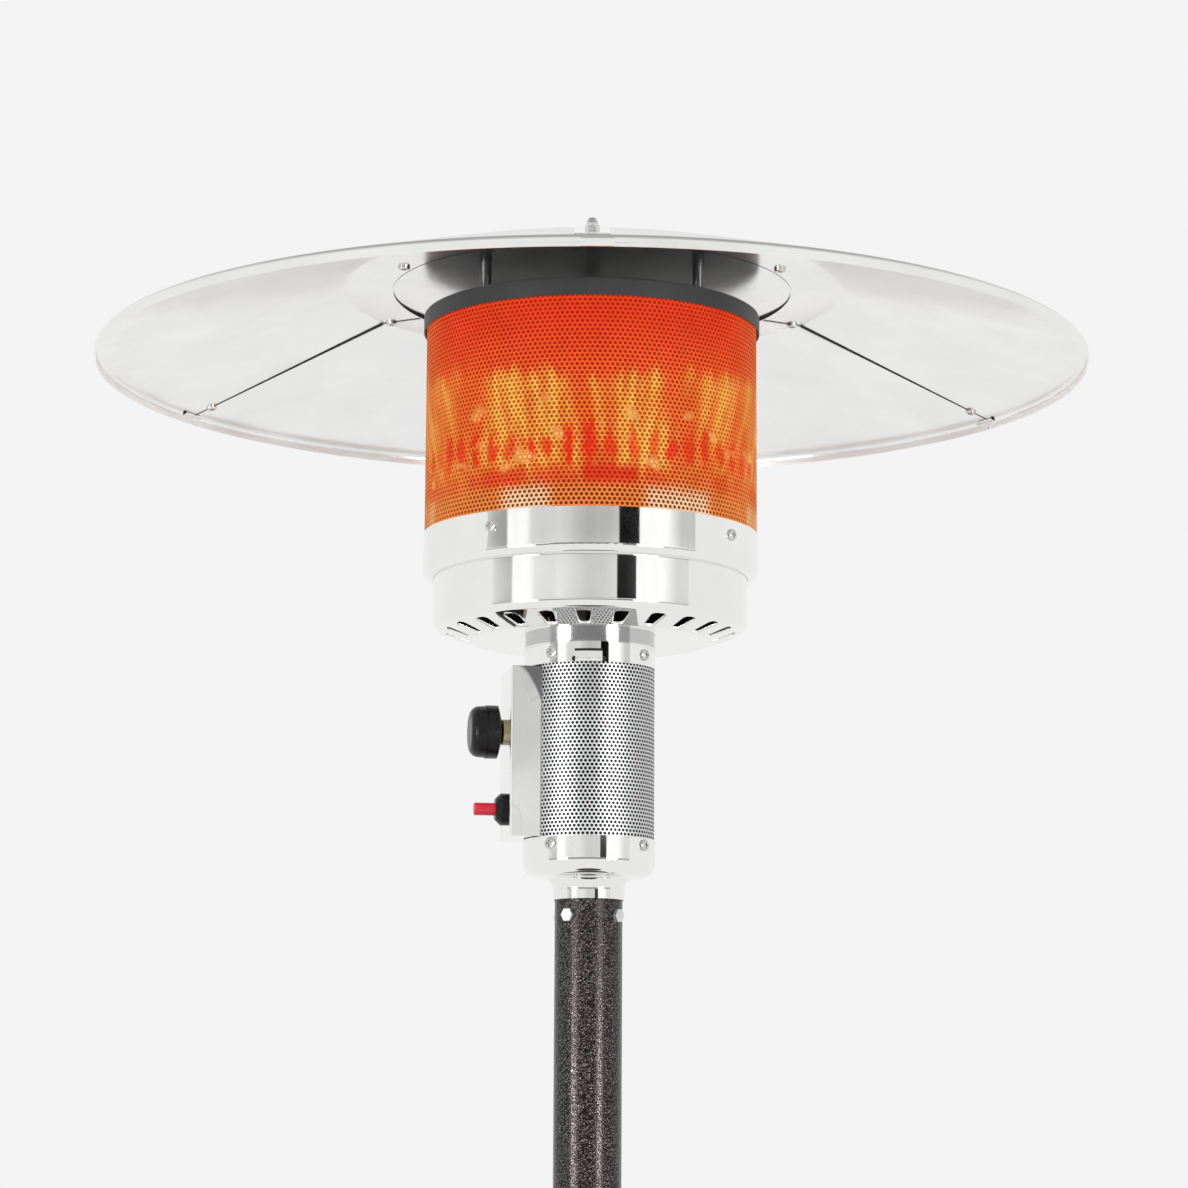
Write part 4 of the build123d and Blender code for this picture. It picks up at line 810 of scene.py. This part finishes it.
def mouth_drop(place):
    """The inner edge's lip is deeper beside a seam."""
    turns = (atan2(place.y, place.x) - seam_clocking) * petal_count / full_turn
    beside = max(0.0, 1 - abs(turns - round(turns)) / mouth_lip_spread)
    return mouth_lip_shallow + mouth_lip_deep * beside


def rim_outline():
    """The petal's outline with its rolled rim: a shallow step under the rim's top bead."""
    outline = held(petal_outline(), (ring_bend, rim_bend))
    radius, bottom = outline[-1]
    step = bottom + rim_step_rise
    return outline[:-1] + [(radius, step), (radius - rim_step_depth, step - rim_step_slope),
                           (radius - rim_step_depth, bottom)]


def finish_petal(shape, rim_top):
    """The second finish on the turned-down edges, the third on the rolled rim's inner side."""
    # The turned-down lips take seam_shadow, painted shadow along the seams and the inner mouth
    for face in shape.faces:
        middle = face.calc_center_median()
        if hypot(*middle.xy) < rim_radius - rim_bend:
            face.material_index = 1 if abs(face.normal.z) < side_on else 0
        elif middle.z < rim_top - rim_hem_drop:
            face.material_index = 2 if face.normal.dot(outward_at(face)) < 0.0 else 0


def make_petal(number, azimuth):
    outline = petal_outline()
    sweep = full_turn / petal_count
    shape = spin_profile(rim_outline(), azimuth - petal_spare, sweep + 2 * petal_spare, petal_steps)
    bend_ring(shape, *outline[1], ring_bend)
    bend_ring(shape, *outline[2], rim_bend)
    cut_beside(shape, azimuth, 1, seam_mouth_gap, seam_gap / 2)
    cut_beside(shape, azimuth + sweep, -1, seam_mouth_gap, seam_gap / 2)
    face_away(shape, far_above)
    radii = {vertex: hypot(*vertex.co.xy) for vertex in shape.verts}
    open_edges = [edge for edge in shape.edges if edge.is_boundary]
    seams = [edge for edge in open_edges if abs(radii[edge.verts[0]] - radii[edge.verts[1]]) > near_enough
             and min(radii[vertex] for vertex in edge.verts) < rim_radius - rim_bend]
    mouth = [edge for edge in open_edges
             if all(radii[vertex] < mouth_radius + near_enough for vertex in edge.verts)]
    turn_down_edges(shape, mouth, mouth_drop)
    turn_down_edges(shape, seams, seam_drop)
    face_away(shape, far_above)
    add_wall(shape, head_sheet)
    finish_petal(shape, outline[2][1])
    piece(f"reflector_petal_{number}_sheet", shape, [petal_steel, seam_shadow, hem_steel],
          replaced=(f"reflector_petal_{number}",))


def make_seam_lap(number, azimuth):
    """The strip over a seam, which carries the seam screws."""
    slope = (reflector_drop - reflector_lip) / (rim_radius - ring_radius)
    lift = head_sheet + lap_gap
    on_cone = lift * sqrt(1 + slope * slope)
    floor = low_of("reflector_petal_1") + reflector_drop
    corner = ring_radius + (on_cone - lift) / slope
    end_height = floor + on_cone - slope * (lap_outer_radius - ring_radius)
    outline = [(lap_inner_radius, floor + lift), (corner, floor + lift), (lap_outer_radius, end_height)]
    half = asin(lap_half_width / lap_inner_radius) * lap_spare
    shape = spin_profile(outline, azimuth - half, 2 * half, lap_steps)
    bend_ring(shape, *outline[1], ring_bend + lift)
    cut_beside(shape, azimuth, -1, -lap_half_width, -lap_half_width)
    cut_beside(shape, azimuth, 1, -lap_half_width, -lap_half_width)
    face_away(shape, far_above)
    add_wall(shape, head_sheet)
    piece(f"reflector_lap_{number}", shape, [polished_steel])


def make_rim_join(number, azimuth):
    """Where one petal's rolled rim laps over the next: a short sleeve over the rim."""
    rim_bottom = low_of("reflector_petal_1")
    rim_top = rim_bottom + reflector_lip
    reach = join_length / rim_radius
    outer = rim_radius + join_stand_off
    outline = [(rim_radius - join_inset, rim_top + join_rise), (outer, rim_top - join_shoulder),
               (outer, rim_bottom)]
    shape = spin_profile(outline, azimuth - join_lead * reach, reach, join_steps)
    bend_ring(shape, *outline[1], join_bend, 4)
    face_away(shape, (0, 0, rim_bottom))
    add_wall(shape, join_wall)
    across = Vector((-sin(azimuth), cos(azimuth), 0))
    # The join's ends take seam_shadow, a painted shadow at its edges
    for face in shape.faces:
        face.material_index = 1 if abs(face.normal.dot(across)) > end_on else 0
    piece(f"reflector_rim_join_{number}", shape, [polished_steel, seam_shadow])


def make_reflector():
    for number in range(petal_count):
        azimuth = seam_clocking + number * full_turn / petal_count
        make_petal(number + 1, azimuth)
        make_seam_lap(number + 1, azimuth)
        make_rim_join(number + 1, azimuth)


# Burner bowl
def spread_corners(slots):
    """Open each slot's outer corners and close its inner ones, so that the slot is a keystone."""
    corners = set()
    for face in slots:
        middle = face.calc_center_median()
        azimuth = atan2(middle.y, middle.x)
        for vertex in face.verts:
            aside = atan2(vertex.co.y, vertex.co.x) - azimuth
            aside = (aside + pi) % full_turn - pi
            if abs(aside) < full_turn / slot_count / 12:
                continue
            radius = hypot(*vertex.co.xy)
            is_outer = radius > (slot_inner_radius + slot_outer_radius) / 2
            half_width = (slot_outer_width if is_outer else slot_inner_width) / 2
            turn = (half_width / radius - abs(aside)) * (1 if aside > 0 else -1)
            vertex.co = Matrix.Rotation(turn, 3, "Z") @ vertex.co
            corners.add((vertex, is_outer))
    return corners


def slot_faces(shape):
    """The faces of the bowl's cone that lie in a slot, grouped by slot."""
    slots = {}
    for face in shape.faces:
        middle = face.calc_center_median()
        radius = hypot(middle.x, middle.y)
        if slot_inner_radius < radius < slot_outer_radius:
            turns = (atan2(middle.y, middle.x) - slot_clocking) / full_turn * slot_count
            if abs(turns - round(turns)) < 1 / 6:
                slots.setdefault(round(turns) % slot_count, []).append(face)
    return list(slots.values())


def make_bowl():
    """The burner bowl, with round-cornered slots whose lips turn inwards."""
    floor = low_of("burner_bowl")
    radius = radius_of("burner_bowl")
    climb = bowl_cone_rise / (bowl_cone_radius - bowl_floor_radius)
    outline = [(bowl_hole_radius, floor), (bowl_floor_radius, floor),
               (slot_inner_radius, floor + climb * (slot_inner_radius - bowl_floor_radius)),
               (slot_outer_radius, floor + climb * (slot_outer_radius - bowl_floor_radius)),
               (radius, floor + climb * (radius - bowl_floor_radius)), (radius, high_of("burner_bowl"))]
    shape = spin_profile(held(outline, (bowl_bends[0] / 2, 0, 0, bowl_bends[1])), slot_clocking, full_turn,
                         6 * slot_count)
    bend_ring(shape, *outline[1], bowl_bends[0] / 2, 3)
    bend_ring(shape, *outline[4], bowl_bends[1], 8)
    face_away(shape, (0, 0, high_of("burner_bowl")))
    for faces in slot_faces(shape):
        bmesh.ops.dissolve_faces(shape, faces=faces)
    corners = spread_corners([faces[0] for faces in slot_faces(shape)])
    for is_outer, offset in ((True, slot_corner), (False, slot_corner / 2)):
        bmesh.ops.bevel(shape, geom=[vertex for vertex, outer in corners if outer == is_outer], offset=offset,
                        segments=4, profile=0.5, affect="VERTICES", material=-1)
    slots = [max(faces, key=lambda face: face.calc_area()) for faces in slot_faces(shape)]
    before = set(shape.faces)
    for thickness, depth in slot_lip_steps:
        bmesh.ops.inset_individual(shape, faces=slots, thickness=thickness, depth=depth)
    lips = bmesh.ops.extrude_discrete_faces(shape, faces=slots)["faces"]
    bmesh.ops.translate(shape, verts=list({vertex for face in lips for vertex in face.verts}),
                        vec=(0, 0, slot_lip_height))
    bmesh.ops.delete(shape, geom=lips, context="FACES_ONLY")
    for face in set(shape.faces) - before:
        face.material_index = 1
    outside = len(shape.faces)
    add_wall(shape, head_sheet)
    shape.faces.ensure_lookup_table()
    for face in shape.faces[outside:]:
        if face.material_index == 0:
            face.material_index = 2
    piece("burner_bowl_shell", shape, [polished_steel, slot_lip_steel, burner_inside],
          replaced=("burner_bowl",))


# Cup and neck
def make_cup():
    """The cup that flares down into its neck, round the top of the post."""
    radius = radius_of("post_cup")
    floor = high_of("post_cup") - cup_shoulder_drop
    outline = [(radius, high_of("post_cup")), (radius, floor), (cup_neck_radius, floor),
               (cup_neck_radius, low_of("post_cup") + cup_neck_trim)]
    shape = sheet_of_revolution(outline, cup_bends, head_sheet, (0, 0, high_of("post_cup")))
    piece("post_cup_shell", shape, [polished_steel], replaced=("post_cup",))


def make_neck_clip():
    """The spring clip that shows under the neck ring at the front, with painted shadow over it: a near-black
    strip for its slot and a dark disc at each side for its notches.
    """
    radius = radius_of("neck_ring")
    low = low_of("neck_ring")
    top = low + clip_height
    half = clip_width / 2 / radius
    outline = [(radius + clip_top_gap, top), (radius + clip_flare, top - clip_bend_drop),
               (radius + clip_foot_flare, low + clip_foot_rise)]
    shape = sheet_of_revolution(outline, (), clip_wall, (0, 0, low), clip_azimuth - half, 2 * half,
                                clip_steps)
    piece("neck_clip", shape, [polished_steel])
    half *= clip_slot_spread
    outline = [(radius + clip_slot_gap, top + clip_slot_height), (radius + clip_slot_gap, top)]
    shape = sheet_of_revolution(outline, (), clip_slot_wall, (0, 0, low), clip_azimuth - half, 2 * half,
                                clip_steps)
    for side in (-1, 1):
        place = (Matrix.Rotation(clip_azimuth + side * half, 4, "Z")
                 @ Matrix.Translation((radius, 0, low + clip_notch)) @ Matrix.Rotation(pi / 2, 4, "Y"))
        bmesh.ops.create_cone(shape, cap_ends=True, segments=20, radius1=clip_notch, radius2=clip_notch,
                              depth=clip_notch_depth, matrix=place)
    piece("neck_clip_slot_shadow", shape, [seam_shadow])


make_emitter()
make_control_screen()
make_reflector()
make_bowl()
make_cup()
make_neck_clip()


# Stage: each tone of a card stands at an azimuth from the camera's side, in degrees
card_tones = [(-74, 0.74), (-66, 0.60), (-58, 0.52), (-57, 1.0), (-43, 1.0), (-39, 0.80), (-31, 0.76),
              (-20, 0.80), (-12, 0.72), (-2, 0.62), (14, 0.65), (17, 0.70), (20.4, 0.72), (33.9, 1.0),
              (52, 1.0), (63, 0.72), (74, 0.70)]
dark_tones = [(18.8, 0.015), (25, 0.02), (32.6, 0.05)]
thin_dark_tones = [(19, 0.05), (24, 0.03), (30, 0.05)]
low_tones = [(-74, 0.015), (-56, 0.015), (-52, 1.0), (-41, 1.0), (-37, 0.009),
             (31, 0.009), (34, 1.0), (45, 1.0), (49, 0.015), (74, 0.015)]
card_strength = 1.12
low_card_strength = 32.0
card_distance = 3.3
dark_card_distance = 3.27
card_bottom = 1.2
card_split = 1.78
card_top = 2.62
card_steps = 48
seen_backdrop = 0.9
seen_overhead = 0.42
soft_light = 0.75
floor_radius = 14.0
floor_drop = 0.0002
floor_tone = 0.86
floor_fade_start = 1.0
floor_fade_end = 6.0
lamp_aim_height = 1.6


def mix_shaders(tree, mask, first, second, output):
    """Show the first shader where the mask is 0, the second where it is 1."""
    mixed = tree.nodes.new("ShaderNodeMixShader")
    for value, socket in zip((mask, first, second), mixed.inputs):
        feed(tree, value, socket)
    feed(tree, mixed.outputs[0], tree.nodes[output].inputs["Surface"])


def make_world():
    """A pale studio that metal and glass see too, with softer light on the object."""
    world = bpy.data.worlds.new("studio")
    bpy.context.scene.world = world
    world.use_nodes = True
    tree = world.node_tree
    light = tree.nodes["Background"]
    feed(tree, soft_light, light.inputs["Strength"])
    feed(tree, grey(1.0), light.inputs["Color"])
    rays = put(tree, "LightPath").outputs
    direction = tree.nodes.new("ShaderNodeTexCoord").outputs["Generated"]
    upward = put(tree, "SeparateXYZ", Vector=direction).outputs["Z"]
    mirrored = eased(tree, upward, 0.30, 0.95, seen_backdrop, seen_overhead)
    sky = between(tree, rays["Is Glossy Ray"], 0.0, 1.0, seen_backdrop, mirrored)
    seen = put(tree, "Background", Color=grey(1.0), Strength=sky)
    shown = larger(tree, rays["Is Camera Ray"], rays["Is Glossy Ray"])
    shown = larger(tree, shown, rays["Is Transmission Ray"])
    mix_shaders(tree, shown, light.outputs[0], seen.outputs[0], "World Output")


def make_floor():
    """A pale floor that keeps the heater's shadow and fades into the backdrop."""
    shape = bmesh.new()
    bmesh.ops.create_circle(shape, cap_ends=True, radius=floor_radius, segments=64,
                            matrix=Matrix.Translation((0, 0, -floor_drop)))
    finish, tree, shader = material("studio_floor", Base_Color=grey(floor_tone), Roughness=0.9,
                                    Specular_IOR_Level=0.0)
    away = put(tree, "VectorMath", {"operation": "LENGTH"})
    feed(tree, coordinates(tree), away.inputs[0])
    faded = eased(tree, away.outputs["Value"], floor_fade_start, floor_fade_end)
    hidden = larger(tree, put(tree, "LightPath").outputs["Is Glossy Ray"], faded)
    glow = put(tree, "Emission", Color=grey(1.0), Strength=seen_backdrop)
    mix_shaders(tree, hidden, tree.nodes["Principled BSDF"].outputs[0], glow.outputs[0], "Material Output")
    linked("studio_floor", shape, [finish])


def tone_ramp(tree, around, tones):
    """The card's tone at each azimuth."""
    start, end = tones[0][0], tones[-1][0]
    ramp = put(tree, "ValToRGB", Fac=between(tree, around, start, end))
    elements = ramp.color_ramp.elements
    for angle, tone in tones[1:-1]:
        elements.new((angle - start) / (end - start)).color = (*grey(tone), 1.0)
    elements[0].color = (*grey(tones[0][1]), 1.0)
    elements[-1].color = (*grey(tones[-1][1]), 1.0)
    return ramp.outputs["Color"]


def card_finish(name, tones, strength):
    """Light of a studio card: a tone at each azimuth, a little uneven, as painted walls are."""
    finish = bpy.data.materials.new(name)
    finish.use_nodes = True
    tree = finish.node_tree
    tree.nodes.remove(tree.nodes["Principled BSDF"])
    place = coordinates(tree)
    around, height = flame_azimuth(tree, place)
    tone = tone_ramp(tree, around, tones)
    mottle = noise(tree, stretched(tree, place, (0.3, 0.3, 2.0)), 9.0, detail=5.0, roughness=0.7)
    even = between(tree, mottle, 0.3, 0.7, 0.93 * strength, 1.07 * strength)
    above = eased(tree, height, 2.50, 2.54)
    beside_neck = times(tree, eased(tree, height, 2.15, 2.25), eased(tree, height, 2.40, 2.44, 1.0, 0.0))
    deeper = line_of(tree, above, 0.8, times(tree, beside_neck, 0.6))
    glow = put(tree, "Emission", Color=tone, Strength=times(tree, even, maths(tree, "POWER", tone, deeper)))
    feed(tree, glow.outputs[0], tree.nodes["Material Output"].inputs["Surface"])
    return finish


def make_cards(name, tones, low, high, distance, strength=1.0):
    """Studio cards that only reflections see, in one curved wall behind the camera."""
    start, end = radians(tones[0][0]), radians(tones[-1][0])
    shape = spin_profile([(distance, low), (distance, high)], camera_azimuth + start, end - start, card_steps)
    cards = linked(name, shape, [card_finish(name, tones, strength)])
    for rays in ("camera", "diffuse", "transmission", "volume_scatter", "shadow"):
        setattr(cards, "visible_" + rays, False)


def make_lamp(name, turn, distance, height, size, power):
    """A soft square lamp, at a turn from the camera's side, that looks at the heater."""
    light = bpy.data.lights.new(name, "AREA")
    light.size = size
    light.energy = power
    lamp = bpy.data.objects.new(name, light)
    azimuth = camera_azimuth + radians(turn)
    place = Vector((distance * cos(azimuth), distance * sin(azimuth), height))
    aim = Vector((0, 0, lamp_aim_height)) - place
    lamp.matrix_world = Matrix.Translation(place) @ aim.to_track_quat("-Z", "Y").to_matrix().to_4x4()
    lamp.visible_glossy = False
    bpy.context.scene.collection.objects.link(lamp)


def make_camera():
    data = bpy.data.cameras.new("photo_camera")
    data.sensor_width = sensor_width
    data.lens = focal_pixels / photo_pixels * sensor_width
    camera = bpy.data.objects.new("photo_camera", data)
    place = Vector((camera_distance * cos(camera_azimuth), camera_distance * sin(camera_azimuth),
                    camera_height))
    heading = camera_azimuth - radians(270) - camera_aim_right / camera_distance
    camera.matrix_world = (Matrix.Translation(place) @ Matrix.Rotation(heading, 4, "Z")
                           @ Matrix.Rotation(radians(90) + camera_pitch, 4, "X")
                           @ Matrix.Rotation(camera_roll, 4, "Z"))
    bpy.context.scene.collection.objects.link(camera)
    bpy.context.scene.camera = camera


bpy.context.scene.view_settings.view_transform = "Standard"
make_world()
make_floor()
make_cards("studio_cards", card_tones, card_split, card_top, card_distance, card_strength)
make_cards("studio_low_cards", low_tones, card_bottom, card_split, card_distance, low_card_strength)
make_cards("studio_dark_card", dark_tones, 2.315, 2.64, dark_card_distance)
make_cards("studio_thin_dark_card", thin_dark_tones, 1.80, 2.08, dark_card_distance)
make_lamp("lamp_left", turn=-50, distance=3.2, height=3.4, size=1.6, power=60)
make_lamp("lamp_right", turn=60, distance=3.4, height=2.8, size=1.6, power=35)
make_camera()
